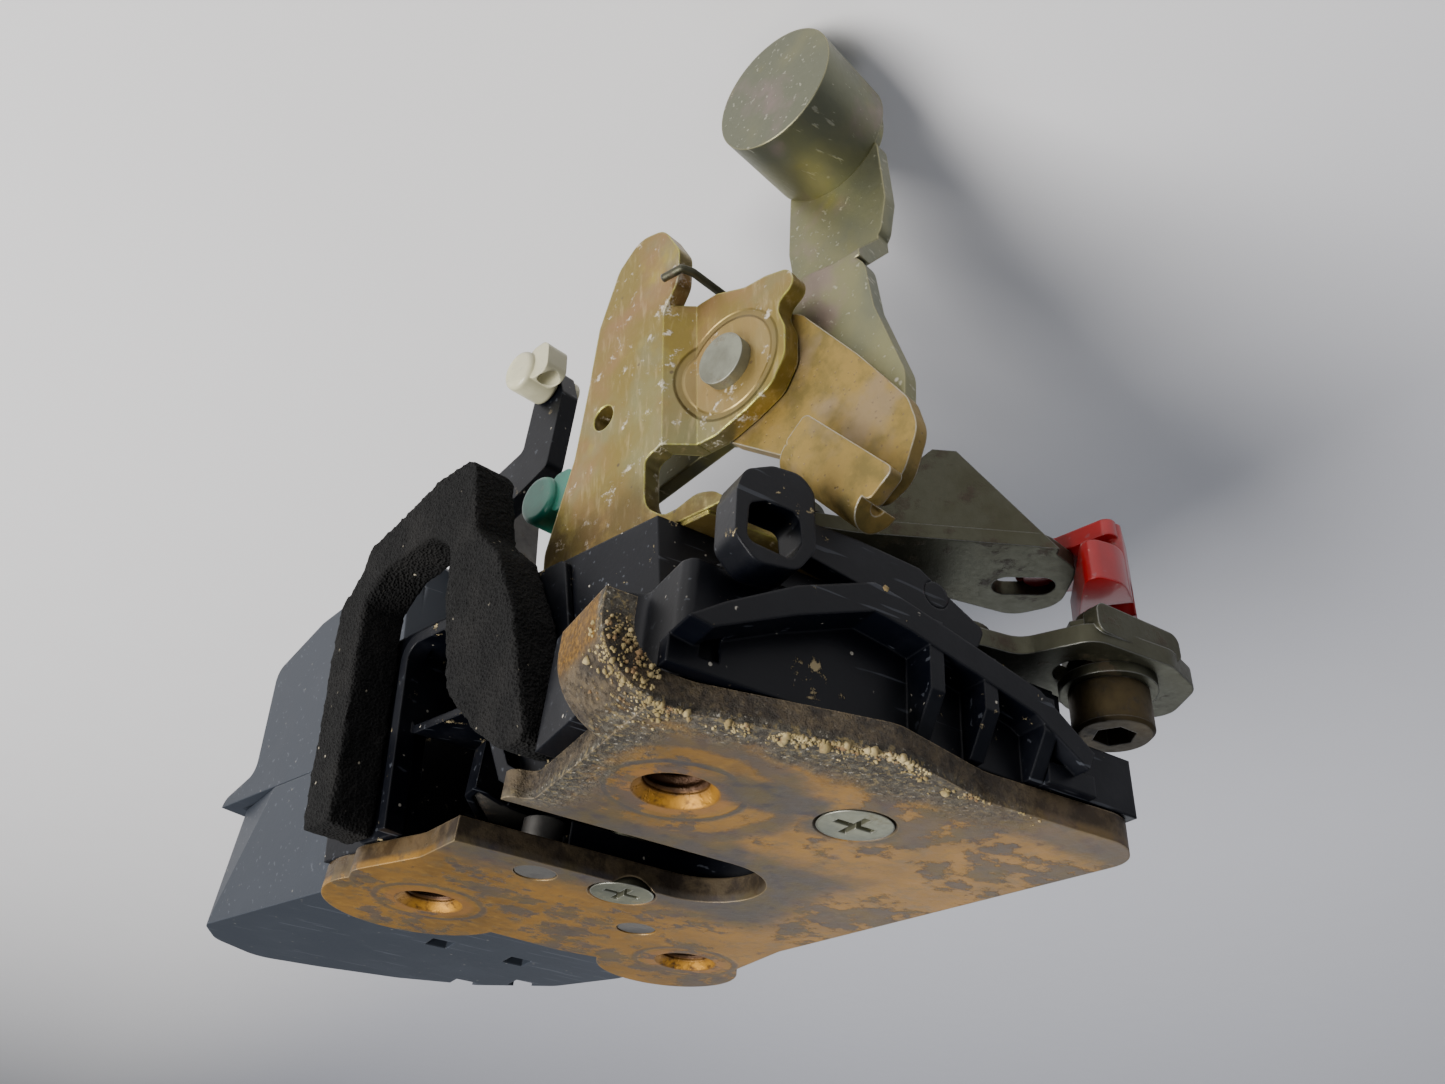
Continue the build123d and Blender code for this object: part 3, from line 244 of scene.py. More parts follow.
# ---- finishes ---------------------------------------------------------------------------------------
def plate_finish(colours, sizes):
    """Yellow zinc, worn to blue-grey round the slot, holes and screw, with a corroded strip at the bend."""
    look = Look("yellow zinc, worn", 0.5, 0.5)
    soft, edge = look.edges(sizes.edge)
    cloud, ragged = look.noise(90, 5), look.noise(260, 6, 0.68, shift=1.1)
    broad = look.noise(120, 5, 0.65, shift=1.7)
    fine, grain = look.noise(700, 4, shift=0.3), look.noise(2600, 3, shift=0.7)
    shade = look.blend(cloud.step(0.35, 0.7), colours.plate, colour(118, 88, 40))
    shade = look.blend(fine.step(0.45, 0.75) * 0.45, shade, colour(158, 121, 56))
    shade = look.blend(look.noise(340, 5, 0.7, shift=2.6).step(0.5, 0.62) * 0.6, shade, colour(112, 92, 60))
    slot_side = ((look.y ** 2.0) ** 0.5).higher(look.x * -1 - 0.002)
    worn = (slot_side * 1000 + ragged * 7 + broad * 8).step(24.0, 16.4) * look.x.step(-0.022, -0.010)
    for number, (x, y, _) in enumerate(HOLES):
        reach = look.near(x, y) * 1000
        near_ring = (reach + ragged * 1.6).step(7.2, 7.6) * (reach + ragged * 1.6).step(8.6, 8.0)
        far_ring = (reach + ragged * 4.0).step(11.6, 12.6) * (reach + broad * 5.0).step(16.6, 14.4)
        worn = (worn * (reach + ragged * 4.0).step(10.6, 12.4)).higher(near_ring) if number == 0 else worn
        worn = worn.higher(far_ring * 0.85 if number == 0 else near_ring * 0.8)
        shade = look.blend(reach.step(6.2, 5.2) * 0.7, shade, colour(150, 106, 56))
    spot = look.near(-0.0036, -0.0255) * 1000
    worn = worn.higher((spot + broad * 9).step(11.2, 8.6))
    between = ((((look.x - 0.0066) * 0.45) ** 2.0 + (look.y + 0.0262) ** 2.0) ** 0.5) * 1000
    worn = worn.higher((between + broad * 8).step(9.0, 6.6))
    patches = (ragged * look.noise(60, 3, shift=2.2)).step(0.25, 0.30)
    rim = (look.y * -1000 + ragged * 6).step(35.0, 38.0)
    worn = worn.higher(patches * 0.85).higher(rim * 0.8)
    blue = look.blend(look.noise(200, 4, shift=3).step(0.4, 0.65), colours.plate_worn, colour(88, 81, 62))
    blue = look.blend(look.noise(420, 4, shift=4).step(0.5, 0.68) * 0.8, blue, colour(58, 60, 70))
    shade = look.blend(worn * 0.88, shade, blue)
    dirt = look.cells(150, 0.4).step(0.16, 0.08) * look.noise(500, 3, shift=5).step(0.45, 0.6)
    stain = look.noise(330, 6, 0.72, shift=6).step(0.6, 0.68)
    shade = look.blend(dirt.higher(stain) * 0.7, shade, colour(84, 66, 50))
    corner = (look.x * 1000 + ragged * 8).step(23.6, 28.0) * (look.y * -1000).step(7.0, 12.0)
    strip = (look.y * -1000 + ragged * 9).step(36.2, 41.5) * (look.x * 1000 + broad * 20).step(-12.0, 12.0)
    flange = (look.z * -1000 + broad * 3).step(4.4, 6.6) * (look.y * -1000 + ragged * 3).step(38.0, 36.6)
    rotten = corner.higher(strip) * (1 - flange)
    golden = look.blend(grain.step(0.4, 0.65), colour(84, 60, 18), colour(128, 94, 34))
    shade = look.blend(flange, shade, golden)
    crust = rotten * look.noise(1100, 5, 0.7, shift=7).step(0.34, 0.5)
    crusty = look.blend(look.noise(900, 4, shift=8).step(0.4, 0.6), colour(84, 80, 70), colour(48, 44, 38))
    crusty = look.blend(look.noise(1500, 4, shift=8.5).step(0.52, 0.62) * 0.8, crusty, colours.crust)
    crusty = look.blend(look.noise(1900, 3, shift=9).step(0.6, 0.7), crusty, colour(164, 158, 144))
    shade = look.blend(rotten * 0.6, shade, colour(70, 66, 56))
    shade = look.blend(crust * 0.92, shade, crusty)
    side = (look.z * -1000).step(0.4, 1.2)
    rust = look.blend(ragged.step(0.4, 0.6), colour(46, 38, 30), colour(86, 74, 56))
    shade = look.blend(side * (look.z * -1000).step(5.5, 4.0) * 0.85, shade, rust)
    for x, y, _ in HOLES:
        bore = (look.near(x, y) * 1000).step(4.6, 4.1)
        lip = bore * (look.z * -1000).step(1.6, 0.5)
        shade = look.blend(bore * 0.9, shade, colour(58, 36, 18))
        shade = look.blend(lip * fine.step(0.3, 0.5), shade, colour(160, 114, 38))
    # lighter edges: partly rubbed wear, partly painted highlight
    shade = look.blend(edge * 0.4, shade, colour(176, 156, 122))
    lumpy = crust * look.noise(1500, 5, 0.7, shift=10) * 3.2
    height = grain * 0.12 + fine * 0.25 + lumpy + worn * ragged * 0.7
    look.metal((0.6 - crust * 0.6 - dirt * 0.4 - rotten * 0.3).higher(0.0))
    return look.finish(shade, 0.38 + fine * 0.22 + worn * 0.08 + crust * 0.35, height, 0.00018, soft)


def bracket_finish(colours, sizes):
    """Golden zinc with a pink blush, greenish bends, white bloom and long brush marks."""
    look = Look("yellow zinc, iridescent", 0.6, 0.38)
    soft, edge = look.edges(sizes.edge * 1.6)
    cloud, brush = look.noise(70, 5), look.noise(260, 4, 0.6, shift=1, stretch=(4, 4, 0.7))
    fine = look.noise(1200, 4, shift=2)
    shade = look.blend(cloud.step(0.44, 0.66) * 0.8, colours.bracket, colours.bracket_blush)
    shade = look.blend(look.noise(60, 4, shift=7).step(0.5, 0.64) * 0.6, shade, colour(128, 128, 92))
    shade = look.blend(look.noise(110, 4, shift=3).step(0.52, 0.72) * 0.7, shade, colour(120, 116, 84))
    shade = look.blend(look.noise(150, 5, shift=4).step(0.55, 0.75) * 0.75, shade, colour(154, 138, 62))
    shade = look.blend(brush.step(0.5, 0.8) * 0.4, shade, colour(190, 172, 130))
    # painted highlight: the edges lightened to pale yellow
    shade = look.blend(edge * 0.8, shade, colour(204, 200, 104))
    reach = look.number("ShaderNodeVectorMath", {"operation": "DISTANCE"},
                        {0: look.place, 1: RIVET_FACE}, "Value")
    # painted shade: a darker ring 6.3 to 7.7 mm from the rivet, in the groove that the relief cuts there
    ring = (reach * 1000).step(6.3, 6.7) * (reach * 1000).step(7.7, 7.2)
    shade = look.blend((reach * 1000).step(7.4, 6.8) * 0.55, shade, colour(148, 124, 80))
    shade = look.blend(ring * 0.6, shade, colour(104, 92, 56))
    bloom = (look.noise(420, 5, 0.7, shift=5) + edge * 0.09).step(0.585, 0.68)
    shade = look.blend(bloom * 0.55, shade, colour(206, 200, 190))
    grime = (look.z * -1000 + cloud * 14).step(50.0, 42.0)
    grime = grime * look.noise(180, 5, 0.65, shift=8).step(0.34, 0.56)
    shade = look.blend(grime * 0.7, shade, colour(74, 60, 36))
    flecks = look.cells(420, 0.2).step(0.15, 0.08) * look.noise(300, 3, shift=6).step(0.52, 0.62)
    shade = look.blend(flecks * 0.8, shade, colour(66, 52, 36))
    look.metal(0.72 - bloom * 0.5 - flecks * 0.4)
    height = fine * 0.3 + brush * 0.3 + bloom * 0.5 - ring * 2.5
    return look.finish(shade, 0.30 + fine * 0.2 + bloom * 0.25, height, 0.0001, soft)


def pitted_finish(colours, sizes):
    """Release lever: matte tan zinc, finely pitted, with white worn edges."""
    look = Look("yellow zinc, pitted", 0.5, 0.5)
    soft, edge = look.edges(sizes.edge * 1.2)
    ragged, fine = look.noise(240, 6, 0.66), look.noise(1600, 4, shift=1)
    shade = look.blend(ragged.step(0.4, 0.65), colour(140, 118, 66), colour(112, 98, 56))
    shade = look.blend(look.noise(120, 4, shift=2).step(0.5, 0.66) * 0.8, shade, colour(136, 118, 92))
    pits = look.cells(1100, 0.1).step(0.2, 0.1)
    shade = look.blend(pits * 0.5, shade, colour(92, 74, 58))
    worn = (edge * ragged.step(0.3, 0.55))
    shade = look.blend(worn * 0.9, shade, colour(200, 198, 186))
    look.metal(0.7 - pits * 0.3)
    return look.finish(shade, 0.40 + fine * 0.24, fine * 0.4 - pits * 0.4, 0.00008, soft)


def olive_finish(colours, sizes):
    """Olive zinc with a faint rainbow film, pale scratches and lighter edges, partly rubbed wear and partly
    painted highlight.
    """
    look = Look("olive zinc", 0.8, 0.4)
    soft, edge = look.edges(sizes.edge * 1.4)
    film = look.noise(60, 4, 0.5)
    fine = look.noise(1300, 4, shift=1)
    shade = look.blend(film.step(0.38, 0.6), colours.olive, colour(104, 106, 90))
    shade = look.blend(look.noise(90, 4, shift=2).step(0.52, 0.68) * 0.6, shade, colour(136, 116, 116))
    shade = look.blend(look.noise(80, 4, shift=3).step(0.54, 0.72) * 0.6, shade, colour(140, 132, 66))
    scratch = look.noise(420, 3, 0.6, shift=4, stretch=(0.4, 3.2, 3.2), turn=(0.4, 0.2, 0.9))
    scratch = scratch.step(0.62, 0.70)
    shade = look.blend(scratch * 0.5, shade, colour(178, 176, 158))
    spots = look.cells(300, 0.5).step(0.12, 0.06) * look.noise(160, 3, shift=5).step(0.5, 0.6)
    shade = look.blend(spots * 0.8, shade, colour(206, 202, 188))
    # lighter edges: partly rubbed wear, partly painted highlight
    shade = look.blend(edge * 0.6, shade, colour(176, 170, 132))
    look.metal(0.88 - spots * 0.6)
    return look.finish(shade, 0.34 + fine * 0.2 - scratch * 0.08, fine * 0.3 + scratch * 0.4, 0.00006, soft)


def metal_finish(name, shade, second, stain, sizes, rough=0.42, shift=0.0):
    """Plain metal with cloudy tone, stains and lighter edges, partly rubbed wear and partly painted highlight."""
    look = Look(name, 0.8, rough)
    soft, edge = look.edges(sizes.edge)
    cloud, fine = look.noise(150, 5, shift=shift), look.noise(1500, 4, shift=shift + 1)
    tone = look.blend(cloud.step(0.4, 0.64), shade, second)
    dirty = look.noise(260, 6, 0.7, shift=shift + 2).step(0.54, 0.68)
    tone = look.blend(dirty * 0.75, tone, stain)
    # lighter edges: partly rubbed wear, partly painted highlight
    tone = look.blend(edge * 0.55, tone, tuple(channel * 0.5 + 0.3 for channel in shade))
    look.metal(0.85 - dirty * 0.5)
    rough_map = rough - 0.08 + fine * 0.24 + dirty * 0.15
    return look.finish(tone, rough_map, fine * 0.4 + dirty * 0.4, 0.00007, soft)


def plastic_finish(name, shade, dust, grease, colours, sizes, rough=0.34, coat=0.15, shift=0.0, cloudy=0.5,
                   gloss=0.5):
    """Moulded plastic with haze, hairline scratches, dust specks, dried grease and painted highlights along the
    edges.
    """
    look = Look(name, 0.0, rough, coat, gloss)
    soft, edge = look.edges(sizes.edge * 1.2)
    haze, fine = look.noise(120, 5, shift=shift), look.noise(1800, 3, shift=shift + 1)
    lighter = tuple(min(1.0, channel * 1.9 + 0.012) for channel in shade)
    tone = look.blend(haze.step(0.45, 0.75) * cloudy, shade, lighter)
    # painted highlight: the edges lightened
    tone = look.blend(edge * 0.35, tone, tuple(min(1.0, channel * 2.2 + 0.012) for channel in shade))
    scratch = look.noise(300, 2, 0.5, shift=shift + 2, stretch=(0.3, 4, 4), turn=(0.5, 0.4, 0.2))
    scratch = scratch.step(0.66, 0.70)
    tone = look.blend(scratch * 0.25, tone, colour(96, 100, 108))
    specks = look.cells(520, shift).step(0.13, 0.07) * look.noise(900, 2, shift=shift + 3).step(0.52, 0.6)
    tone = look.blend(specks * dust, tone, colour(196, 190, 176))
    smear = look.noise(190, 6, 0.74, shift=shift + 4).step(0.625, 0.665)
    tone = look.blend(smear * grease, tone, colours.grease)
    rough_map = rough + haze * 0.16 + smear * grease * 0.4 - scratch * 0.05
    height = fine * 0.16 + smear * grease * 1.2 + specks * dust * 0.8
    return look.finish(tone, rough_map, height, 0.00008, soft)


def foam_finish(colours):
    """Open-pore foam: matte charcoal, cells of every size with painted shade in their hollows, sprinkled with
    dust.
    """
    look = Look("foam", 0.0, 0.92, gloss=0.15)
    pores, fine = look.cells(2600), look.noise(4200, 4)
    # painted shade: the pore hollows darkened to a third of the foam's colour
    painted_pore_shade = tuple(channel * 0.35 for channel in colours.foam)
    tone = look.blend(pores.step(0.1, 0.55), painted_pore_shade, colours.foam)
    tone = look.blend(look.noise(130, 5, shift=1).step(0.45, 0.7) * 0.5, tone, colour(40, 39, 38))
    dust = look.cells(480, 0.3).step(0.12, 0.06) * look.noise(700, 2, shift=2).step(0.5, 0.6)
    tone = look.blend(dust * 0.7, tone, colour(168, 160, 142))
    return look.finish(tone, 0.86 + fine * 0.1, pores * 1.1 + fine * 0.6, 0.0003)


def crust_finish(colours):
    """Dried dirt and salt: tan to white grains, fully matte."""
    look = Look("crust", 0.0, 0.95)
    fine = look.noise(1300, 4)
    tone = look.blend(look.noise(380, 4, shift=1).step(0.45, 0.66), colours.crust, colour(164, 148, 108))
    tone = look.blend(look.noise(620, 3, shift=2).step(0.5, 0.66) * 0.8, tone, colour(104, 78, 54))
    return look.finish(tone, 0.9 + fine * 0.08, fine, 0.00015)


# ---- surfaces -----------------------------------------------------------------------------------------
def surface(name, points, wrap_rows=False, wrap_columns=False):
    """Mesh object over a grid of points (rows, columns, 3), closed round where asked."""
    rows, columns = points.shape[:2]
    row = np.arange(rows if wrap_rows else rows - 1)[:, None]
    column = np.arange(columns if wrap_columns else columns - 1)[None, :]
    row_next, column_next = (row + 1) % rows, (column + 1) % columns
    quads = np.stack([row * columns + column, row_next * columns + column,
                      row_next * columns + column_next, row * columns + column_next], -1).reshape(-1, 4)
    return mesh_object(name, points.reshape(-1, 3), quads)


def mesh_object(name, points, faces):
    """Smooth mesh object from points and faces, with points that coincide, as at a pole, welded."""
    mesh = bpy.data.meshes.new(name)
    mesh.from_pydata(points.tolist(), [], faces.tolist())
    welded = bmesh.new()
    welded.from_mesh(mesh)
    bmesh.ops.remove_doubles(welded, verts=welded.verts, dist=5e-7)
    welded.to_mesh(mesh)
    welded.free()
    mesh.polygons.foreach_set("use_smooth", np.ones(len(mesh.polygons), bool))
    mesh.update()
    made = bpy.data.objects.new(name, mesh)
    bpy.context.scene.collection.objects.link(made)
    return made


def tube(name, path, radius, side_axis, sides=14):
    """Round tube: each ring is the path's point plus radius times (cosine, sine) in the plane across the
    path's direction, taken with side_axis. Both ends close to a point a little way on."""
    ahead = np.gradient(path, axis=0)
    ahead /= np.linalg.norm(ahead, axis=1, keepdims=True)
    side = np.cross(ahead, side_axis)
    side /= np.linalg.norm(side, axis=1, keepdims=True)
    up = np.cross(side, ahead)
    turn = np.linspace(0, 2 * pi, sides, endpoint=False)
    centre = np.concatenate([path[:1], path, path[-1:]])
    size = np.concatenate([[1e-7], np.full(len(path), radius), [1e-7]])
    side, up = (np.concatenate([axis[:1], axis, axis[-1:]]) for axis in (side, up))
    ring = np.cos(turn)[None, :, None] * side[:, None] + np.sin(turn)[None, :, None] * up[:, None]
    return surface(name, centre[:, None] + ring * size[:, None, None], wrap_columns=True)


def lumps(points, scale, seed):
    """Smooth random numbers from -1 to 1 at points: random values on a lattice of that many cells per
    metre, blended between the eight corners of each cell with smooth steps."""
    table = np.random.default_rng(seed).uniform(-1, 1, 4096)
    place = points * scale
    cell = np.floor(place).astype(int)
    part = place - cell
    part = part * part * (3 - 2 * part)
    total = np.zeros(len(points))
    for corner in np.ndindex(2, 2, 2):
        where = cell + corner
        pick = (where[:, 0] * 73856093 ^ where[:, 1] * 19349663 ^ where[:, 2] * 83492791) % 4096
        weight = np.prod(np.where(corner, part, 1 - part), axis=1)
        total += table[pick] * weight
    return total


def settle(piece, body, material):
    """Give a new piece its finish and the body that it rides on."""
    piece.data.materials.clear()
    piece.data.materials.append(material)
    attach(piece, body)


# ---- operators ------------------------------------------------------------------------------------------
class LATCH_OT_finishes(bpy.types.Operator):
    """Put the worn finishes on the latch's own pieces"""
    bl_idname = "latch.finishes"
    bl_label = "Finishes"

    def execute(self, context):
        colours, sizes = context.scene.latch_colours, context.scene.latch_sizes

        def plastic(*given, **more):
            return plastic_finish(*given[:4], colours, sizes, *given[4:], **more)

        def metal(name, shade, second, stain, rough, shift=0.0):
            return metal_finish(name, shade, colour(*second), colour(*stain), sizes, rough, shift)

        black = plastic("black nylon", colours.black, 0.6, 0.9, 0.32, 0.0, gloss=0.22)
        clean_black = plastic("black nylon, clean", colours.black, 0.4, 0.25, 0.34, 0.0, 3, gloss=0.25)
        slate = plastic("slate plastic", colours.slate, 0.15, 0.0, 0.46, 0.0, 5, 0.12)
        grey = metal("grey zinc", colours.grey_zinc, (70, 69, 56), (62, 50, 34), 0.42)
        steel = metal("pin steel", colours.steel, (92, 90, 88), (84, 70, 56), 0.5, 2.0)
        screw = metal("screw zinc", colours.screw, (110, 112, 98), (98, 88, 64), 0.42, 4.0)
        rivet = metal("rivet zinc", colour(136, 138, 124), (112, 112, 100), (96, 84, 62), 0.5, 7)
        soiled = metal("soiled steel", colours.soiled, (76, 66, 46), (40, 34, 27), 0.5, 6.0)
        olive = olive_finish(colours, sizes)
        natural = plastic("natural acetal", colour(214, 208, 190), 0.1, 0.0, 0.4, 0.0, 7)
        brass = metal("brass", colour(190, 156, 92), (168, 134, 76), (120, 92, 50), 0.36, 8.0)
        finishes = {
            plate_finish(colours, sizes): ["face_plate"],
            bracket_finish(colours, sizes): ["lever_bracket"],
            pitted_finish(colours, sizes): ["release_lever"],
            olive: ["counterweight_lever", "counterweight"],
            grey: ["slotted_lever", "adjuster_lever", "slotted_lever_pin", "adjuster_pin", "adjuster_nut",
                   "adjuster_washer", "fork_spring", "pawl_spring", "lever_spring"],
            rivet: ["lever_rivet", "weight_rivet"],
            steel: ["fork_pivot", "pawl_pivot", "staked_post", "back_plate_rivet", "gear_axle",
                    "motor_shaft", "fork", "pawl", "output_arm_pin", "motor"],
            screw: ["plate_screws", "actuator_screws"],
            soiled: ["adjuster_screw"],
            black: ["latch_housing", "side_cover", "mouth_liner", "lock_lever", "lever_shelf",
                    "lock_lever_pin"],
            clean_black: ["output_arm", "connector_shell", "fork_cover", "striker_bumper"],
            slate: ["actuator_case", "actuator_cover"],
            plastic("teal", colours.teal, 0.35, 0.1, 0.3, 0.3, 9): ["green_rod_clip"],
            plastic("cream", colours.cream, 0.2, 0.15, 0.36, 0.2, 10): ["white_rod_clip"],
            plastic("red", colours.red, 0.2, 0.1, 0.3, 0.3, 11): ["red_link_clip"],
            natural: ["output_gear", "lock_rack"],
            brass: ["motor_pinion", "connector_terminals"],
        }
        for material, nodes in finishes.items():
            for node in nodes:
                for slot in frame["nodes"][node].material_slots:
                    slot.material = material
        return {"FINISHED"}


class LATCH_OT_foam(bpy.types.Operator):
    """Make the foam seal with its soft corners and open pores"""
    bl_idname = "latch.foam"
    bl_label = "Foam seal"

    def execute(self, context):
        sizes = context.scene.latch_sizes
        source = frame["nodes"]["foam_seal"]
        foam = bpy.data.objects.new("foam_arch", source.data.copy())
        context.scene.collection.objects.link(foam)
        remesh = foam.modifiers.new("remesh", "REMESH")
        remesh.mode, remesh.voxel_size = "VOXEL", 0.00042
        smooth = foam.modifiers.new("soften", "SMOOTH")
        smooth.iterations, smooth.factor = 5, 0.5
        shape = bpy.data.meshes.new_from_object(foam.evaluated_get(context.evaluated_depsgraph_get()))
        foam.modifiers.clear()
        foam.data = shape
        foam.name = "foam_arch"
        count = len(shape.vertices)
        points, normals = np.empty(count * 3), np.empty(count * 3)
        shape.vertices.foreach_get("co", points)
        shape.vertices.foreach_get("normal", normals)
        points, normals = points.reshape(-1, 3), normals.reshape(-1, 3)
        depth = np.minimum(lumps(points, 900, 3), 0) * 0.6 + np.minimum(lumps(points, 1900, 4), 0) * 0.9
        depth += lumps(points, 160, 5) * 0.9 - 0.3
        points += normals * depth[:, None] * sizes.pore
        shape.vertices.foreach_set("co", points.ravel())
        shape.polygons.foreach_set("use_smooth", np.ones(len(shape.polygons), bool))
        shape.update()
        settle(foam, "latch_base", foam_finish(context.scene.latch_colours))
        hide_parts("foam_seal")
        return {"FINISHED"}


class LATCH_OT_springs(bpy.types.Operator):
    """Wind the lever spring round the rivet, with its tang over the bracket's wing"""
    bl_idname = "latch.springs"
    bl_label = "Springs"

    def execute(self, context):
        wire = context.scene.latch_sizes.wire
        turn = np.linspace(-0.6 * pi, 4.1 * pi, 220)
        rivet_across, rivet_height = RIVET_AT
        coil_r = 4.3
        level = np.interp(turn, [turn[0], turn[-1]], [5.6, 8.0])
        across = rivet_across + coil_r * np.cos(turn)
        height = rivet_height + coil_r * np.sin(turn)
        coil = side_points(across, height, level)
        tang = np.array([(23.4, 60.6, 8.0), (20.6, 66.0, 7.7), (17.6, 69.6, 7.8), (16.4, 70.2, 9.0),
                         (16.2, 70.3, 18.4), (15.6, 70.3, 19.9), (12.6, 70.4, 20.1)])
        hook = side_points(*tang.T)
        steps = np.linspace(0, len(hook) - 1, 60)
        hook = np.stack([np.interp(steps, range(len(hook)), hook[:, i]) for i in range(3)], -1)
        coil = np.concatenate([coil, hook])
        spring = tube("lever_torsion_spring", coil, wire, OUT)
        zinc = frame["nodes"]["slotted_lever"].material_slots[0].material
        settle(spring, "latch_base", zinc)
        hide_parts("lever_spring")
        return {"FINISHED"}


class LATCH_OT_threads(bpy.types.Operator):
    """Cut the thread ridges in the plate's three holes"""
    bl_idname = "latch.threads"
    bl_label = "Threads"

    def execute(self, context):
        sizes = context.scene.latch_sizes
        material = frame["nodes"]["face_plate"].material_slots[0].material
        for number, (x, y, _) in enumerate(HOLES):
            turn = np.linspace(0, 2 * pi, 64, endpoint=False)[None, :]
            z = np.linspace(-0.0067, -0.0013, 120)[:, None]
            ridge = 0.5 + 0.5 * np.cos(2 * pi * z / sizes.thread_pitch + turn)
            taper = np.clip(np.minimum(-0.0012 - z, z + 0.0068) / 0.0004, 0, 1)
            radius = 0.00334 - sizes.thread_depth * ridge * taper
            points = np.stack([x + radius * np.cos(turn), y + radius * np.sin(turn), z + 0 * turn], -1)
            thread = surface(f"plate_thread_{number + 1}", points, wrap_columns=True)
            settle(thread, "latch_base", material)
        return {"FINISHED"}


class LATCH_OT_crust(bpy.types.Operator):
    """Scatter grains of dried dirt along the plate's bent edge and on the cover"""
    bl_idname = "latch.crust"
    bl_label = "Crust"

    def execute(self, context):
        grain, draw = context.scene.latch_sizes.grain, np.random.default_rng(11)
        crust = crust_finish(context.scene.latch_colours)
        edge_x = np.array([-24.0, -9.3, 2.9, 20.9, 24.0])
        edge_y = np.array([-38.9, -38.2, -41.0, -36.5, -36.5])
        count = 900
        x = np.clip(draw.normal(9.0, 9.0, count), -22, 23.6)
        y = np.interp(x, edge_x, edge_y) - 0.2 + draw.exponential(0.6, count)
        heap = lumps(np.stack([x, y, 0 * x], -1), 0.35, 8) > -0.15
        along = np.stack([x, y, 0 * x], -1)[heap]
        turn, y = draw.uniform(-0.2, 1.5, 260), -36.7 + draw.exponential(1.3, 260)
        bend = np.stack([BEND_X + BEND_R * np.sin(turn), y.clip(-36.9, -27.5),
                         BEND_R * np.cos(turn) - BEND_R], -1)
        deep, turn = draw.uniform(0.3, 3.0, 160), draw.uniform(0.2, 1.57, 160)
        end = np.stack([BEND_X + (BEND_R - deep) * np.sin(turn), deep * 0 - 36.8,
                        (BEND_R - deep) * np.cos(turn) - BEND_R], -1)
        centres = np.concatenate([along, bend, end])
        size = grain * draw.lognormal(-0.75, 0.5, len(centres))
        grains("edge_crust", centres * MM, size, draw, crust)
        rim = np.array([(21.3, -8.3), (14.5, -12.6), (6.0, -16.4), (1.8, -15.6), (-6.5, -13.5),
                        (-13.8, -11.6)])
        crumbs = 130
        spots = draw.choice([0.5, 1.1, 1.3, 2.2, 3.4, 4.4], crumbs) + draw.normal(0, 0.07, crumbs)
        x, z = (np.interp(spots, range(6), rim[:, i]) for i in range(2))
        centres = np.stack([x, -38.4 - draw.exponential(1.2, crumbs).clip(0, 3.4), z], -1)
        size = grain * draw.lognormal(-0.6, 0.5, crumbs)
        grains("cover_crumbs", centres * MM, size, draw, crust)
        return {"FINISHED"}


def grains(name, centres, sizes, draw, material):
    """Many lumpy grains in one mesh: each is a ball of six by four faces, sine and cosine of the tilt times
    those of the turn, whose radius varies at random from point to point."""
    turn = np.linspace(0, 2 * pi, 6, endpoint=False)
    tilt = np.linspace(0, pi, 5)
    out, up = np.sin(tilt)[:, None], np.cos(tilt)[:, None]
    ball = np.stack([out * np.cos(turn), out * np.sin(turn), up + 0 * turn], -1).reshape(-1, 3)
    count, each = len(centres), len(ball)
    radius = sizes[:, None] * draw.uniform(0.72, 1.25, (count, each))
    radius[:, :6], radius[:, -6:] = radius[:, :1], radius[:, -1:]
    points = centres[:, None] + ball[None] * radius[..., None]
    row, column = np.arange(4)[:, None], np.arange(6)[None]
    quads = np.stack([row * 6 + column, (row + 1) * 6 + column, (row + 1) * 6 + (column + 1) % 6,
                      row * 6 + (column + 1) % 6], -1).reshape(-1, 4)
    faces = (quads[None] + (np.arange(count) * each)[:, None, None]).reshape(-1, 4)
    piece = mesh_object(name, points.reshape(-1, 3), faces)
    settle(piece, "latch_base", material)
    return piece


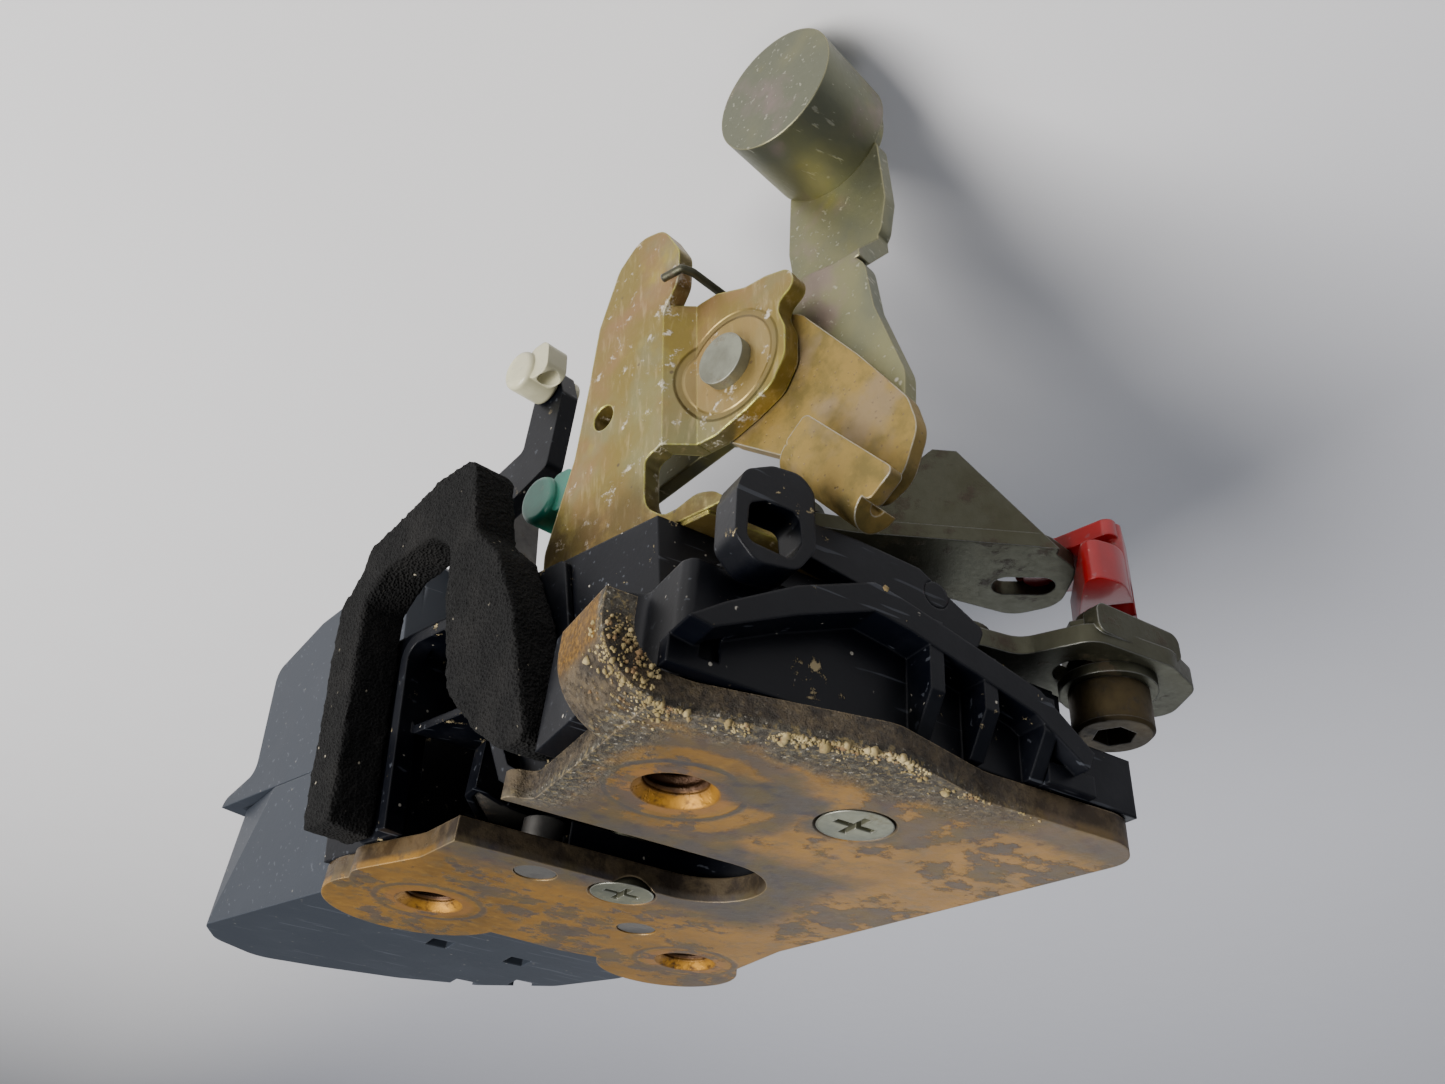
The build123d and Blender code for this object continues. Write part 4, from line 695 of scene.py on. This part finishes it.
class LATCH_OT_stage(bpy.types.Operator):
    """Lay the pale floor, hang the soft lights and place the camera"""
    bl_idname = "latch.stage"
    bl_label = "Stage"

    def execute(self, context):
        scene = context.scene
        low = CAD_BOX[0][2] - 0.0005
        span = np.linspace(-2.5, 2.5, 3)
        floor = surface("floor", np.stack(np.broadcast_arrays(span[:, None], span[None, :], low), -1))
        look = Look("floor", 0.0, 0.5)
        # painted shade: the floor darkens and turns bluer toward −X, the side away from the key lamp
        painted_floor_shade = look.x.step(0.04, -0.16) * 0.6
        tone = look.blend(painted_floor_shade, scene.latch_colours.floor, colour(168, 170, 182))
        floor.data.materials.append(look.finish(tone, 0.42 + look.noise(60, 4) * 0.16))
        world = bpy.data.worlds.new("studio")
        scene.world = world
        world.use_nodes = True
        world.node_tree.nodes["Background"].inputs[0].default_value = (0.86, 0.9, 1.0, 1)
        world.node_tree.nodes["Background"].inputs[1].default_value = 0.20
        lamps = [("key", (0.8, -0.04, 0.62), 0.6, 25.0, (1.0, 0.98, 0.95)),
                 ("fill", (-0.10, -1.30, 0.90), 1.3, 1.8, (0.92, 0.95, 1.0)),
                 ("back", (-1.0, 0.90, 0.80), 1.0, 5.0, (0.92, 0.95, 1.0))]
        for name, place, size, power, tone in lamps:
            lamp = bpy.data.lights.new(name, "AREA")
            lamp.size, lamp.energy, lamp.color = size, power, tone
            holder = bpy.data.objects.new(name, lamp)
            holder.location = place
            aim = Vector((0, 0.02, -0.03)) - Vector(place)
            holder.rotation_euler = aim.to_track_quat("-Z", "Y").to_euler()
            scene.collection.objects.link(holder)
        camera = bpy.data.cameras.new("camera")
        camera.sensor_width, camera.lens, camera.clip_start = 36.0, 27.08, 0.005
        eye = bpy.data.objects.new("camera", camera)
        right, up = (-0.86645, -0.49235, -0.08281), (0.34699, -0.47459, -0.80893)
        back = (0.35897, -0.72963, 0.58205)
        place = (0.0562, -0.1110, 0.0410)
        eye.matrix_world = Matrix([(right[i], up[i], back[i], place[i]) for i in range(3)] + [(0, 0, 0, 1)])
        scene.collection.objects.link(eye)
        scene.camera = eye
        return {"FINISHED"}


class LATCH_PT_panel(bpy.types.Panel):
    bl_label = "Door latch"
    bl_idname = "LATCH_PT_panel"
    bl_space_type = "VIEW_3D"
    bl_region_type = "UI"
    bl_category = "Door latch"

    def draw(self, context):
        for operator in OPERATORS:
            self.layout.operator(operator.bl_idname)
        for group in (context.scene.latch_colours, context.scene.latch_sizes):
            for name in group.__annotations__:
                self.layout.prop(group, name)


OPERATORS = (LATCH_OT_finishes, LATCH_OT_foam, LATCH_OT_springs, LATCH_OT_threads, LATCH_OT_crust,
             LATCH_OT_stage)
CLASSES = (LatchColours, LatchSizes, *OPERATORS, LATCH_PT_panel)


def register():
    for each in CLASSES:
        bpy.utils.register_class(each)
    bpy.types.Scene.latch_colours = bpy.props.PointerProperty(type=LatchColours)
    bpy.types.Scene.latch_sizes = bpy.props.PointerProperty(type=LatchSizes)


def unregister():
    del bpy.types.Scene.latch_sizes
    del bpy.types.Scene.latch_colours
    for each in reversed(CLASSES):
        bpy.utils.unregister_class(each)


def main():
    register()
    bpy.ops.latch.finishes()
    bpy.ops.latch.foam()
    bpy.ops.latch.springs()
    bpy.ops.latch.threads()
    bpy.ops.latch.crust()
    bpy.ops.latch.stage()


if __name__ == "__main__":
    main()
